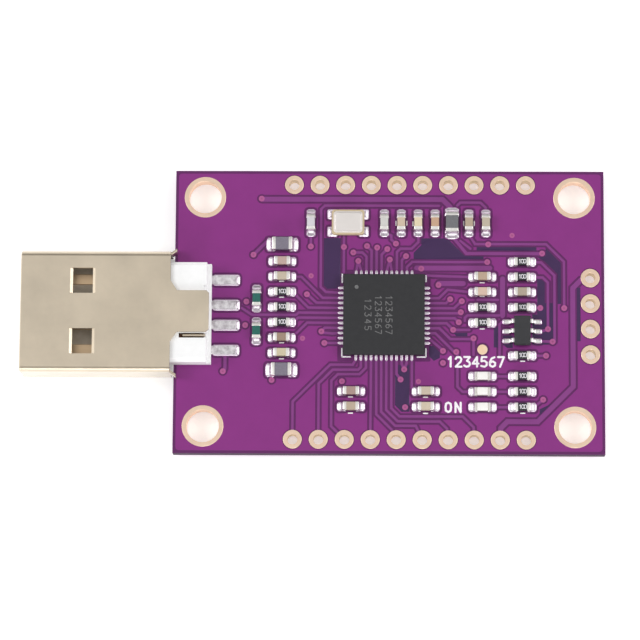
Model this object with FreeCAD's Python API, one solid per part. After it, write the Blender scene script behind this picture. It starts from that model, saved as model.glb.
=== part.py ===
import FreeCAD, Part
import math
import os

from FreeCAD import Vector

os.makedirs("parts", exist_ok=True)

# USB to serial adapter board, millimetres.
# Origin: centre of the four mounting holes, on the underside of the board.
# +X away from the plug, +Y across the board, +Z up through the parts.

# Board blank
BOARD_LENGTH = 42.30
BOARD_WIDTH = 28.20
BOARD_THICKNESS = 1.60
BOARD_TOP = BOARD_THICKNESS
BOARD_EDGE_X = -BOARD_LENGTH / 2

# Copper under the mask: the clearance around each track is a shallow groove
COPPER_DEPTH = 0.035
TRACK_WIDTH = 0.25
WIDE_TRACK_WIDTH = 0.32
SUPPLY_TRACK_WIDTH = 0.50
TRACK_CLEARANCE = 0.21
WIDEST_MITRE_TURN = 70
PAD_MARGIN = 0.02
MEMORY_PAD_REACH = 0.25

# Mounting holes
MOUNT_MARGIN_X = 2.925
MOUNT_MARGIN_Y = 2.675
MOUNT_PITCH_X = BOARD_LENGTH - 2 * MOUNT_MARGIN_X
MOUNT_PITCH_Y = BOARD_WIDTH - 2 * MOUNT_MARGIN_Y
MOUNT_HOLE_R = 1.60
MOUNT_RING_WIDTH = 0.44
MOUNT_RING_R = MOUNT_HOLE_R + MOUNT_RING_WIDTH

# Header holes: each long row fills the edge between its two mounting holes
HEADER_PITCH = 2.54
HEADER_START_GAP = 8.805
HEADER_END_GAP = 3.50
HEADER_FIRST_X = -MOUNT_PITCH_X / 2 + HEADER_START_GAP
HEADER_COUNT = 1 + int((MOUNT_PITCH_X - HEADER_START_GAP - HEADER_END_GAP) / HEADER_PITCH)
HEADER_EDGE_MARGIN = 1.40
HEADER_ROW_Y = BOARD_WIDTH / 2 - HEADER_EDGE_MARGIN
SIDE_COUNT = 4
SIDE_EDGE_MARGIN = 1.38
SIDE_X = BOARD_LENGTH / 2 - SIDE_EDGE_MARGIN
SIDE_FIRST_Y = 3.40
HEADER_HOLE_R = 0.50
HEADER_RING_WIDTH = 0.42
HEADER_RING_R = HEADER_HOLE_R + HEADER_RING_WIDTH
RING_STAND = 0.03

# Flat sides that stand in for the small circles
MOUNT_RING_SIDES = 24
PAD_SIDES = 14
BORE_SIDES = 12
DOT_SIDES = 12

# Solder film under every part and the level the parts stand on
SOLDER_FILM = 0.04
SEAT_Z = BOARD_TOP + SOLDER_FILM

# Chip part sizes: length, width
SMALL_LENGTH = 1.60
SMALL_WIDTH = 0.80
LARGE_LENGTH = 2.00
LARGE_WIDTH = 1.25
CAP_HEIGHT = 0.75
RESISTOR_HEIGHT = 0.45
LARGE_HEIGHT = 0.90
PROTECTOR_HEIGHT = 0.60
LED_HEIGHT = 0.60
LED_CARRIER = 0.22
LED_LENS_INSET = 0.26
LED_LENS_EDGE = 0.12
END_BAND = 0.36
END_PROUD = 0.02

# Solder wedge at each end of a chip part
WEDGE_REACH = 0.58
WEDGE_SIDE = 0.06
FILM_UNDER = 0.30
WEDGE_RISE_SHARE = 0.62
WEDGE_RISE_MOST = 0.42

# Main chip
MAIN_X = -0.50
MAIN_Y = -0.40
MAIN_SIZE = 8.00
MAIN_HEIGHT = 0.85
MAIN_EDGE = 0.06
MAIN_PITCH = 0.50
MAIN_CORNER = 1.00
MAIN_PER_SIDE = int((MAIN_SIZE - 2 * MAIN_CORNER) / MAIN_PITCH + 0.01)
TERMINAL_WIDTH = 0.26
TERMINAL_LENGTH = 0.40
TERMINAL_HEIGHT = 0.20
TERMINAL_TOE = 0.55
THERMAL_PAD_SIZE = 5.20
THERMAL_PAD_DEPTH = 0.05
PIN_ONE_R = 0.24
PIN_ONE_DEPTH = 0.05
PIN_ONE_INSET = 1.30

# Memory chip with six bent leads
MEMORY_WIDTH = 1.62
MEMORY_LENGTH = 2.95
MEMORY_HEIGHT = 1.10
MEMORY_DRAFT = 0.10
MEMORY_STANDOFF = 0.06
MEMORY_LEAD_PITCH = 0.95
LEAD_WIDTH = 0.42
LEAD_THICKNESS = 0.15
LEAD_FOOT = 0.45
LEAD_SHOULDER = 0.22
LEAD_SLOPE = 0.22
LEAD_ROOT = 0.15
MEMORY_SPAN = MEMORY_WIDTH + 2 * (LEAD_SHOULDER + LEAD_SLOPE + LEAD_FOOT)
MEMORY_TOE = 0.22
MEMORY_TOE_HEIGHT = 0.10
MEMORY_PAD_MARGIN = 0.05

# Crystal
CRYSTAL_LENGTH = 3.20
CRYSTAL_WIDTH = 2.50
CRYSTAL_BASE_HEIGHT = 0.50
CRYSTAL_LID_INSET = 0.17
CRYSTAL_LID_HEIGHT = 0.22
CRYSTAL_LID_CORNER = 0.20
CRYSTAL_LID_EDGE = 0.06
CRYSTAL_NOTCH_R = 0.14
CRYSTAL_PAD_LENGTH = 1.00
CRYSTAL_PAD_WIDTH = 1.00
CRYSTAL_PAD_REACH = 0.45
CRYSTAL_PAD_OVERHANG = 0.12
CRYSTAL_RISE = 0.26
CRYSTAL_TOE_RISE = 0.14

# Plug
PLUG_Y = -0.42
SHELL_LENGTH = 14.70
SHELL_EDGE_GAP = 0.25
SHELL_REAR_X = BOARD_EDGE_X - SHELL_EDGE_GAP
PLUG_FRONT_X = SHELL_REAR_X - SHELL_LENGTH
SHELL_WIDTH = 12.00
SHELL_HEIGHT = 4.50
SHELL_WALL = 0.30
SHELL_CORNER_R = 0.60
SHELL_DROP = 2.00
SHELL_BOTTOM_Z = BOARD_TOP - SHELL_DROP
SHELL_TOP_Z = SHELL_BOTTOM_Z + SHELL_HEIGHT
SHELL_LIP = 0.08
WINDOW_LENGTH = 1.95
WINDOW_WIDTH = 2.50
WINDOW_SETBACK = 6.10
WINDOW_X = PLUG_FRONT_X + WINDOW_SETBACK
WINDOW_OFFSET_Y = 3.00
TAB_WIDTH = 4.10
TAB_LENGTH = 3.78
TAB_CORNER = 0.25
GUSSET_LENGTH = 0.65
GUSSET_WIDTH = 1.00
TAB_REAR_X = SHELL_REAR_X + TAB_LENGTH
SEAM_WIDTH = 0.10
SEAM_DEPTH = 0.12
EAR_LENGTH = 0.55
EAR_FLARE = 0.38
EAR_HEIGHT = 1.50
EAR_BOARD_GAP = 0.05

# Plug insulator and contacts
CONTACT_THICKNESS = 0.20
CONTACT_Z = SEAT_Z
TONGUE_TOP_Z = CONTACT_Z
TONGUE_SETBACK = 0.60
TONGUE_FRONT_X = PLUG_FRONT_X + TONGUE_SETBACK
TONGUE_SIDE_GAP = 0.10
TONGUE_CORNER = 0.35
TONGUE_NOSE = 0.30
BLOCK_SIDE_GAP = 0.75
BLOCK_WIDTH = SHELL_WIDTH - 2 * (SHELL_WALL + BLOCK_SIDE_GAP)
BLOCK_INSIDE = 2.20
BLOCK_TAB_SETBACK = 0.24
BLOCK_REAR_X = TAB_REAR_X - BLOCK_TAB_SETBACK
BLOCK_CHAMFER = 0.35
FLANGE_LENGTH = 0.40
FLANGE_REAR_X = BLOCK_REAR_X + FLANGE_LENGTH
FLANGE_HEIGHT = 0.90
FLANGE_EDGE = 0.08
TAB_SIDE_GAP = 0.05
REAR_NOTCH_DEPTH = 0.28
REAR_NOTCH_WIDTH = 0.50
REAR_NOTCH_HEIGHT = 0.90
SLOT_LENGTH = 2.70
SLOT_WIDTH = 0.50
SLOT_DEPTH = 0.60
CONTACT_WIDTH = 1.00
TAIL_WIDTH = 0.86
TAIL_NECK_SETBACK = 1.20
TAIL_PAD_GAP = 0.06
TAIL_PAD_LENGTH = 2.70
TAIL_PAD_MARGIN = 0.25
TAIL_PAD_WIDTH = 1.10
TAIL_PAD_FRONT_X = FLANGE_REAR_X + TAIL_PAD_GAP
TAIL_PAD_REAR_X = TAIL_PAD_FRONT_X + TAIL_PAD_LENGTH
TAIL_REAR_X = TAIL_PAD_REAR_X - TAIL_PAD_MARGIN
CONTACT_OUTER_OFFSET = 3.50
CONTACT_INNER_OFFSET = 1.00
CONTACT_OFFSETS = (CONTACT_OUTER_OFFSET, CONTACT_INNER_OFFSET, -CONTACT_INNER_OFFSET, -CONTACT_OUTER_OFFSET)
OUTER_CONTACT_SETBACK = 0.55
INNER_CONTACT_SETBACK = 1.55
OUTER_CONTACT_FRONT_X = TONGUE_FRONT_X + OUTER_CONTACT_SETBACK
INNER_CONTACT_FRONT_X = TONGUE_FRONT_X + INNER_CONTACT_SETBACK
CONTACT_NOSE = 0.12

# Fields of chip parts. On the plug side they stand off the contact tails
PROTECTOR_X = TAIL_PAD_REAR_X + 1.65
PROTECTOR_FAR_Y = 1.25
PROTECTOR_NEAR_Y = -2.00
COLUMN_LEFT_X = PROTECTOR_X + 2.50
COLUMN_PITCH = 1.524
LEFT_TOP_Y = 4.98
FERRITE_STEP = 1.70

# The two columns on the other side stand off the side header column
COLUMN_OUTER_X = SIDE_X - 6.70
COLUMN_INNER_X = COLUMN_OUTER_X - 3.90
INNER_TOP_Y = 3.47

# The near fields stand off the near header row, one part above another
NEAR_BOTTOM_Y = -HEADER_ROW_Y + 3.24
NEAR_LEFT_X = MAIN_X - 3.20
NEAR_RIGHT_X = COLUMN_INNER_X - 5.54
LED_TOP_Y = NEAR_BOTTOM_Y + 2 * COLUMN_PITCH
OUTER_LOW_Y = LED_TOP_Y + 2.06
MEMORY_X = COLUMN_OUTER_X
MEMORY_Y = OUTER_LOW_Y + 2.40
OUTER_HIGH_Y = MEMORY_Y + 2.37

# The crystal and the row beside it stand off the far header row
ROW_Y = HEADER_ROW_Y - 3.84
ROW_PITCH = 1.67
ROW_FIRST_X = MAIN_X
CRYSTAL_X = ROW_FIRST_X - 3.58
CRYSTAL_Y = ROW_Y
ROW_LEFT_X = CRYSTAL_X - 3.67

# Test pad, midway between the inner column and the first lamp
TEST_PAD_R = 0.50
TEST_PAD_X = COLUMN_INNER_X
TEST_PAD_Y = (INNER_TOP_Y - 3 * COLUMN_PITCH + LED_TOP_Y) / 2

# Ink marks
INK_THICKNESS = 0.02
INK_WIDTH = 0.14
INK_GAP = 0.05
INK_PIN_GAP = 0.34
INK_SHORTER = 0.12


def box(x0, x1, y0, y1, z0, z1):
    return Part.makeBox(x1 - x0, y1 - y0, z1 - z0, Vector(x0, y0, z0))


def disc(x, y, z0, z1, radius):
    return Part.makeCylinder(radius, z1 - z0, Vector(x, y, z0))


def many_sided(x, y, z0, z1, radius, sides):
    """Near-round bar with flat sides, for the small features that repeat."""
    ring = []
    for i in range(sides + 1):
        angle = 2 * math.pi * (i + 0.5) / sides
        ring.append(Vector(x + radius * math.cos(angle), y + radius * math.sin(angle), z0))
    return Part.Face(Part.makePolygon(ring)).extrude(Vector(0, 0, z1 - z0))


def polygon_face(points, z):
    ring = [Vector(x, y, z) for x, y in points]
    ring.append(ring[0])
    return Part.Face(Part.makePolygon(ring))


def profile_prism(points, width):
    """A closed outline in the XZ plane pulled equally to both sides in Y."""
    ring = [Vector(x, -width / 2, z) for x, z in points]
    ring.append(ring[0])
    face = Part.Face(Part.makePolygon(ring))
    return face.extrude(Vector(0, width, 0))


def save(name, shapes):
    """Writes one named piece; several separate solids go in as one compound."""
    shapes = list(shapes)
    shape = shapes[0] if len(shapes) == 1 else Part.makeCompound(shapes)
    if not shape.isValid():
        raise RuntimeError("invalid shape: " + name)
    shape.exportStep("parts/" + name + ".step")


def one_solid(shape):
    """The single solid of a boolean result."""
    clean = shape.removeSplitter()
    if len(clean.Solids) != 1:
        raise RuntimeError("expected one solid, found %d" % len(clean.Solids))
    return clean.Solids[0]


# Hole positions


def mount_centres():
    half_x = MOUNT_PITCH_X / 2
    half_y = MOUNT_PITCH_Y / 2
    return [(sx * half_x, sy * half_y) for sx in (-1, 1) for sy in (-1, 1)]


def header_row(y):
    return [(HEADER_FIRST_X + HEADER_PITCH * i, y) for i in range(HEADER_COUNT)]


def side_column():
    return [(SIDE_X, SIDE_FIRST_Y - HEADER_PITCH * i) for i in range(SIDE_COUNT)]


# Chip parts. Each entry: name, family, centre x, centre y, turned a quarter or not


def left_y(step):
    return LEFT_TOP_Y - COLUMN_PITCH * step


def inner_y(step):
    return INNER_TOP_Y - COLUMN_PITCH * step


def outer_y(step):
    return OUTER_HIGH_Y + COLUMN_PITCH * step


def near_y(step):
    return NEAR_BOTTOM_Y + COLUMN_PITCH * step


def row_x(step):
    return ROW_FIRST_X + ROW_PITCH * step


CHIP_PARTS = [
    ("ferrite_left_far", "large", COLUMN_LEFT_X, left_y(0) + FERRITE_STEP, False),
    ("capacitor_left_1", "cap", COLUMN_LEFT_X, left_y(0), False),
    ("capacitor_left_2", "cap", COLUMN_LEFT_X, left_y(1), False),
    ("resistor_left_1", "resistor", COLUMN_LEFT_X, left_y(2), False),
    ("resistor_left_2", "resistor", COLUMN_LEFT_X, left_y(3), False),
    ("resistor_left_3", "resistor", COLUMN_LEFT_X, left_y(4), False),
    ("capacitor_left_3", "cap", COLUMN_LEFT_X, left_y(5), False),
    ("capacitor_left_4", "cap", COLUMN_LEFT_X, left_y(6), False),
    ("ferrite_left_near", "large", COLUMN_LEFT_X, left_y(6) - FERRITE_STEP, False),
    ("protector_data_1", "protector", PROTECTOR_X, PROTECTOR_FAR_Y, True),
    ("protector_data_2", "protector", PROTECTOR_X, PROTECTOR_NEAR_Y, True),
    ("capacitor_row_1", "cap", ROW_LEFT_X, ROW_Y, True),
    ("capacitor_row_2", "cap", row_x(0), ROW_Y, True),
    ("capacitor_row_3", "cap", row_x(1), ROW_Y, True),
    ("capacitor_row_4", "cap", row_x(2), ROW_Y, True),
    ("capacitor_row_5", "cap", row_x(3), ROW_Y, True),
    ("ferrite_row", "large", row_x(4), ROW_Y, True),
    ("capacitor_row_6", "cap", row_x(5), ROW_Y, True),
    ("capacitor_row_7", "cap", row_x(6), ROW_Y, True),
    ("capacitor_inner_1", "cap", COLUMN_INNER_X, inner_y(0), False),
    ("capacitor_inner_2", "cap", COLUMN_INNER_X, inner_y(1), False),
    ("resistor_inner_1", "resistor", COLUMN_INNER_X, inner_y(2), False),
    ("resistor_inner_2", "resistor", COLUMN_INNER_X, inner_y(3), False),
    ("led_1", "led", COLUMN_INNER_X, near_y(2), False),
    ("led_2", "led", COLUMN_INNER_X, near_y(1), False),
    ("led_3", "led", COLUMN_INNER_X, near_y(0), False),
    ("resistor_outer_1", "resistor", COLUMN_OUTER_X, outer_y(3), False),
    ("resistor_outer_2", "resistor", COLUMN_OUTER_X, outer_y(2), False),
    ("capacitor_outer_1", "cap", COLUMN_OUTER_X, outer_y(1), False),
    ("resistor_outer_3", "resistor", COLUMN_OUTER_X, outer_y(0), False),
    ("resistor_outer_4", "resistor", COLUMN_OUTER_X, OUTER_LOW_Y, False),
    ("resistor_led_1", "resistor", COLUMN_OUTER_X, near_y(2), False),
    ("resistor_led_2", "resistor", COLUMN_OUTER_X, near_y(1), False),
    ("resistor_led_3", "resistor", COLUMN_OUTER_X, near_y(0), False),
    ("capacitor_near_1", "cap", NEAR_LEFT_X, near_y(1), False),
    ("capacitor_near_2", "cap", NEAR_LEFT_X, near_y(0), False),
    ("capacitor_near_3", "cap", NEAR_RIGHT_X, near_y(1), False),
    ("capacitor_near_4", "cap", NEAR_RIGHT_X, near_y(0), False),
]

FAMILY_SIZE = {
    "large": (LARGE_LENGTH, LARGE_WIDTH, LARGE_HEIGHT),
    "cap": (SMALL_LENGTH, SMALL_WIDTH, CAP_HEIGHT),
    "resistor": (SMALL_LENGTH, SMALL_WIDTH, RESISTOR_HEIGHT),
    "protector": (SMALL_LENGTH, SMALL_WIDTH, PROTECTOR_HEIGHT),
    "led": (SMALL_LENGTH, SMALL_WIDTH, LED_HEIGHT),
}


def near_hole(i):
    return (HEADER_FIRST_X + HEADER_PITCH * i, -HEADER_ROW_Y)


def pin(side, i):
    """Toe of a main chip terminal, counted along +X or +Y from the lower end."""
    along = MAIN_PITCH * (i - (MAIN_PER_SIDE - 1) / 2)
    reach = MAIN_SIZE / 2 + TERMINAL_TOE
    if side == "near":
        return (MAIN_X + along, MAIN_Y - reach)
    if side == "far":
        return (MAIN_X + along, MAIN_Y + reach)
    if side == "plug":
        return (MAIN_X - reach, MAIN_Y + along)
    return (MAIN_X + reach, MAIN_Y + along)


def part_end(name, sign):
    """Middle of the solder pad at one end of a chip part."""
    for entry in CHIP_PARTS:
        if entry[0] == name:
            reach = sign * (FAMILY_SIZE[entry[1]][0] / 2 + WEDGE_REACH / 2)
            if entry[4]:
                return (entry[2], entry[3] + reach)
            return (entry[2] + reach, entry[3])
    raise KeyError(name)


def memory_foot(side, i):
    """Middle of one foot of the memory chip: side -1 or 1, i from -1 to 1."""
    return (MEMORY_X + side * MEMORY_SPAN / 2, MEMORY_Y + i * MEMORY_LEAD_PITCH)


# Tracks on the top face: width, then the corner points of the centre line
FIRST_X = near_hole(0)[0]
SECOND_X = near_hole(1)[0]
TRACKS = [
    # fan-out from the near side of the main chip to the near header row
    (TRACK_WIDTH, [pin("near", 0), (-3.55, -5.3), (-5.75, -5.3), (FIRST_X, -8.97), near_hole(0)]),
    (TRACK_WIDTH, [pin("near", 1), (-2.75, -5.55), (-3.0, -5.8), (-5.5, -5.8), (SECOND_X, -7.18),
                   near_hole(1)]),
    (TRACK_WIDTH, [pin("near", 2), (-2.25, -5.6), (-2.9, -6.25), (-5.0, -6.25), (-5.63, -6.88),
                   (-5.63, -11.4), near_hole(2)]),
    (TRACK_WIDTH, [pin("near", 3), near_hole(3)]),
    (TRACK_WIDTH, [pin("near", 4), (-1.22, -10.2), (0.3, -11.72), near_hole(4)]),
    (TRACK_WIDTH, [pin("near", 5), (-0.75, -9.95), (0.63, -11.33), (2.65, -11.33), near_hole(5)]),
    (TRACK_WIDTH, [pin("near", 6), (-0.25, -9.77), (0.88, -10.9), (5.0, -10.9), (5.7, -11.6), near_hole(6)]),
    (TRACK_WIDTH, [pin("near", 7), (0.25, -9.6), (1.05, -10.4), (7.25, -10.4), (8.3, -11.45), near_hole(7)]),
    (TRACK_WIDTH, [pin("near", 11), (2.25, -7.6)]),
    # plug side of the main chip
    (TRACK_WIDTH, [pin("plug", 10), (-6.25, 1.95), (-6.75, 2.45), (-6.75, 10.25), (-6.38, 10.62),
                   (4.9, 10.62)]),
    (TRACK_WIDTH, [pin("plug", 9), (-6.55, 1.35), (-8.65, 3.45), part_end("capacitor_left_2", 1)]),
    (TRACK_WIDTH, [pin("plug", 8), (-7.15, 0.87), (-8.05, 1.7)]),
    (TRACK_WIDTH, [pin("plug", 7), (-7.95, 0.37), (-9.2, 1.62)]),
    (TRACK_WIDTH, [pin("plug", 6), (-8.9, -0.13), (-9.15, -0.36), (-13.5, -0.36), (-14.5, 0.3)]),
    (TRACK_WIDTH, [pin("plug", 5), (-8.95, -0.63), part_end("resistor_left_3", 1)]),
    (TRACK_WIDTH, [pin("plug", 4), (-8.05, -1.13), (-9.1, -2.18)]),
    (TRACK_WIDTH, [pin("plug", 3), (-6.3, -1.63), (-6.65, -2.0)]),
    (TRACK_WIDTH, [pin("plug", 0), (-6.35, -3.15)]),
    (TRACK_WIDTH, [(-4.48, 7.5), (-4.48, 3.9)]),
    (TRACK_WIDTH, [part_end("capacitor_row_1", -1), (-7.75, 6.5)]),
    (WIDE_TRACK_WIDTH, [(-13.4, 5.65), (-12.15, 6.9), (-11.9, 6.9)]),
    (WIDE_TRACK_WIDTH, [(-16.1, -4.4), (-16.1, -5.8)]),
    # supply bus under the far header row
    (SUPPLY_TRACK_WIDTH, [(-12.65, 11.25), (5.25, 11.25), (6.0, 10.5)]),
    (TRACK_WIDTH, [(6.7, 10.65), (7.0, 10.95), (9.0, 10.95), (9.5, 10.45), part_end("capacitor_row_7", 1)]),
    # far side of the main chip
    (TRACK_WIDTH, [pin("far", 2), (-2.25, 5.5), (-2.65, 5.9), (-3.5, 5.9)]),
    (TRACK_WIDTH, [pin("far", 3), (-1.75, 6.1), (-2.2, 6.55)]),
    (TRACK_WIDTH, [pin("far", 4), (-1.25, 6.4)]),
    (TRACK_WIDTH, [pin("far", 5), (-0.75, 5.7), (-0.2, 6.25)]),
    (TRACK_WIDTH, [pin("far", 8), (0.75, 5.95), (1.1, 6.3), (2.2, 6.3), (2.87, 6.97),
                   part_end("capacitor_row_4", -1)]),
    (TRACK_WIDTH, [pin("far", 9), (1.25, 5.15), (1.65, 5.55)]),
    (TRACK_WIDTH, [pin("far", 10), (1.75, 4.45), (2.27, 4.97), (9.65, 4.97)]),
    (SUPPLY_TRACK_WIDTH, [(2.7, 4.36), (9.9, 4.36)]),
    (WIDE_TRACK_WIDTH, [part_end("ferrite_row", -1), (7.6, 5.83), (15.05, 5.83)]),
    (TRACK_WIDTH, [part_end("capacitor_row_6", -1), (8.45, 6.78), (15.45, 6.78), (17.2, 5.03), (17.2, 0.4)]),
    # header side of the main chip
    (TRACK_WIDTH, [(3.75, 3.6), part_end("capacitor_inner_1", -1)]),
    (SUPPLY_TRACK_WIDTH, [(4.9, 2.82), (7.3, 2.82)]),
    (TRACK_WIDTH, [pin("header", 9), (4.9, 1.35), (5.75, 2.2), part_end("capacitor_inner_2", -1)]),
    (TRACK_WIDTH, [pin("header", 8), (5.6, 0.85), (6.0, 1.25)]),
    (TRACK_WIDTH, [pin("header", 7), (6.4, 0.35), (7.1, 1.05)]),
    (TRACK_WIDTH, [pin("header", 6), (7.0, -0.15)]),
    (TRACK_WIDTH, [pin("header", 5), (6.45, -0.65), (6.85, -1.05)]),
    (TRACK_WIDTH, [pin("header", 4), (5.65, -1.15), (6.3, -1.8), (7.9, -1.8)]),
    (TRACK_WIDTH, [pin("header", 3), (4.95, -1.65), (6.02, -2.72), (8.3, -2.72), (8.3, -4.3)]),
    (TRACK_WIDTH, [pin("header", 2), (4.55, -2.15), (6.4, -4.0)]),
    (TRACK_WIDTH, [pin("header", 1), (5.3, -3.85)]),
    (TRACK_WIDTH, [(7.45, -0.9), (7.45, -0.6), (7.7, -0.36), (10.8, -0.36)]),
    (TRACK_WIDTH, [(6.72, -4.1), (6.72, -7.45), (7.22, -7.95), part_end("led_2", -1)]),
    (TRACK_WIDTH, [memory_foot(-1, 1), (11.05, -1.05), (10.85, -1.25), (10.85, -4.3)]),
    (SUPPLY_TRACK_WIDTH, [(11.15, 3.3), (11.15, -0.4)]),
    (TRACK_WIDTH, [part_end("resistor_outer_1", 1), (14.95, 4.95), (16.25, 3.65), (16.25, -2.95),
                   memory_foot(1, -1)]),
    (TRACK_WIDTH, [part_end("resistor_outer_2", 1), (15.1, 3.45), (15.6, 2.95), (15.6, -1.75),
                   memory_foot(1, 0)]),
    (TRACK_WIDTH, [part_end("resistor_outer_3", 1), (14.85, 0.42)]),
    (TRACK_WIDTH, [part_end("resistor_outer_4", 1), (15.35, -4.35)]),
    (TRACK_WIDTH, [part_end("resistor_led_3", 1), (15.05, -8.75)]),
    (TRACK_WIDTH, [part_end("led_1", 1), part_end("resistor_led_1", -1)]),
    (TRACK_WIDTH, [part_end("led_2", 1), part_end("resistor_led_2", -1)]),
    (TRACK_WIDTH, [part_end("led_3", 1), part_end("resistor_led_3", -1)]),
    # supply track from the side column round to the near header row
    (SUPPLY_TRACK_WIDTH, [(SIDE_X, SIDE_FIRST_Y), (18.85, 3.2), (18.05, 2.4), (18.05, -7.4), (14.57, -10.88),
                          (11.6, -10.88), (10.95, -11.53), near_hole(8)]),
]

# Areas of the top face with no copper under the mask
BARE_AREAS = [
    [(0.60, -5.3), (2.02, -5.3), (2.02, -9.95), (1.25, -9.95), (0.60, -9.3)],
    [(-6.45, 7.35), (-4.80, 7.35), (-4.80, 2.60), (-5.20, 2.25), (-6.10, 2.25), (-6.45, 2.60)],
    [(2.40, 5.25), (2.40, 5.90), (3.15, 6.65), (3.15, 7.35), (5.75, 7.35), (7.42, 5.60), (9.3, 5.55),
     (9.3, 5.25)],
    [(8.60, 6.48), (8.60, 6.13), (14.5, 6.13), (14.5, 6.48)],
    [(15.40, 6.40), (16.90, 4.90), (16.90, 0.80), (16.55, 0.80), (16.55, 3.80), (15.3, 5.05), (14.6, 5.45),
     (15.4, 5.6)],
    [(14.55, 3.25), (15.0, 3.25), (15.30, 2.95), (15.30, 0.90), (14.55, 0.90)],
    [(3.95, -3.40), (4.35, -3.40), (5.00, -4.05), (5.00, -4.60), (4.40, -4.90), (3.95, -4.45)],
    [(18.45, 2.45), (18.80, 2.45), (18.80, -2.90), (18.45, -2.90)],
    [(14.75, -9.65), (15.90, -9.10), (14.75, -10.25)],
    [(6.35, -2.10), (7.70, -2.10), (7.70, -2.45), (6.60, -2.45)],
]


# Track bands


def runs(points):
    """Splits a centre line wherever it turns more sharply than a mitre allows."""
    result = [[points[0], points[1]]]
    for after in points[2:]:
        before, corner = result[-1][-2:]
        heading = math.atan2(corner[1] - before[1], corner[0] - before[0])
        turned = math.atan2(after[1] - corner[1], after[0] - corner[0]) - heading
        turn = abs(math.degrees(math.atan2(math.sin(turned), math.cos(turned))))
        if turn > WIDEST_MITRE_TURN:
            result.append([corner])
        result[-1].append(after)
    return result


def band_outline(points, width):
    """Both sides of a centre line with mitred corners and square ends."""
    half = width / 2
    count = len(points)
    directions = []
    for i in range(count - 1):
        dx = points[i + 1][0] - points[i][0]
        dy = points[i + 1][1] - points[i][1]
        size = math.hypot(dx, dy)
        directions.append((dx / size, dy / size))
    left = []
    right = []
    for i in range(count):
        before = directions[max(i - 1, 0)]
        after = directions[min(i, count - 2)]
        nx = -(before[1] + after[1])
        ny = before[0] + after[0]
        size = math.hypot(nx, ny)
        nx = nx / size
        ny = ny / size
        stretch = half / (nx * -after[1] + ny * after[0])
        x, y = points[i]
        if i == 0:
            x = x - after[0] * half
            y = y - after[1] * half
        if i == count - 1:
            x = x + before[0] * half
            y = y + before[1] * half
        left.append((x + nx * stretch, y + ny * stretch))
        right.append((x - nx * stretch, y - ny * stretch))
    return left + right[::-1]


def bands(extra):
    """Every track as flat faces, wider than the copper by the given amount."""
    faces = []
    for width, points in TRACKS:
        for run in runs(points):
            faces.append(polygon_face(band_outline(run, width + extra), BOARD_TOP))
    return faces


def edges_at(shape, x, z):
    """Edges whose middle lies at the given x and z."""
    return [e for e in shape.Edges if abs(e.CenterOfMass.x - x) < 1e-6 and abs(e.CenterOfMass.z - z) < 1e-6]


def rectangle(x0, x1, y0, y1):
    return [(x0, y0), (x1, y0), (x1, y1), (x0, y1)]


def footprint(entry, margin):
    """Rectangle on the board covered by a chip part and its solder."""
    name, family, x, y, turned = entry
    length, width, height = FAMILY_SIZE[family]
    half_l = length / 2 + WEDGE_REACH + margin
    half_w = width / 2 + WEDGE_SIDE + margin
    if turned:
        half_l, half_w = half_w, half_l
    return rectangle(x - half_l, x + half_l, y - half_w, y + half_w)


def kept_copper():
    """Tracks and every pad area that stays at full height, as flat faces."""
    faces = bands(0)
    for entry in CHIP_PARTS:
        faces.append(polygon_face(footprint(entry, PAD_MARGIN), BOARD_TOP))
    reach = MAIN_SIZE / 2 + TERMINAL_TOE + PAD_MARGIN
    outline = rectangle(MAIN_X - reach, MAIN_X + reach, MAIN_Y - reach, MAIN_Y + reach)
    faces.append(polygon_face(outline, BOARD_TOP))
    half = MEMORY_SPAN / 2 + MEMORY_PAD_REACH
    long_half = MEMORY_LENGTH / 2
    outline = rectangle(MEMORY_X - half, MEMORY_X + half, MEMORY_Y - long_half, MEMORY_Y + long_half)
    faces.append(polygon_face(outline, BOARD_TOP))
    half = CRYSTAL_LENGTH / 2 + CRYSTAL_PAD_REACH + PAD_MARGIN
    wide_half = CRYSTAL_WIDTH / 2 + CRYSTAL_PAD_REACH / 2
    outline = rectangle(CRYSTAL_X - half, CRYSTAL_X + half, CRYSTAL_Y - wide_half, CRYSTAL_Y + wide_half)
    faces.append(polygon_face(outline, BOARD_TOP))
    for offset in CONTACT_OFFSETS:
        y = PLUG_Y + offset
        half = TAIL_PAD_WIDTH / 2
        outline = rectangle(TAIL_PAD_FRONT_X, TAIL_PAD_REAR_X, y - half, y + half)
        faces.append(polygon_face(outline, BOARD_TOP))
    return faces[0].multiFuse(faces[1:])


def clearance_grooves():
    """Shallow solids that leave the tracks standing proud of the laminate."""
    faces = bands(2 * TRACK_CLEARANCE)
    for area in BARE_AREAS:
        faces.append(polygon_face(area, BOARD_TOP))
    sunk = faces[0].multiFuse(faces[1:])
    sunk = sunk.cut(kept_copper()).removeSplitter()
    return sunk.extrude(Vector(0, 0, -COPPER_DEPTH))


def make_board():
    half_x = BOARD_LENGTH / 2
    half_y = BOARD_WIDTH / 2
    blank = box(-half_x, half_x, -half_y, half_y, 0, BOARD_TOP)
    top = BOARD_TOP + 1
    holes = [many_sided(x, y, -1, top, MOUNT_RING_R, MOUNT_RING_SIDES) for x, y in mount_centres()]
    rows = header_row(HEADER_ROW_Y) + header_row(-HEADER_ROW_Y) + side_column()
    holes += [many_sided(x, y, -1, top, HEADER_RING_R, PAD_SIDES) for x, y in rows]
    holes.append(many_sided(TEST_PAD_X, TEST_PAD_Y, BOARD_TOP - COPPER_DEPTH, top, TEST_PAD_R, PAD_SIDES))
    blank = blank.cut(Part.makeCompound(holes))
    return one_solid(blank.cut(clearance_grooves()))


# Plated holes


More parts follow.
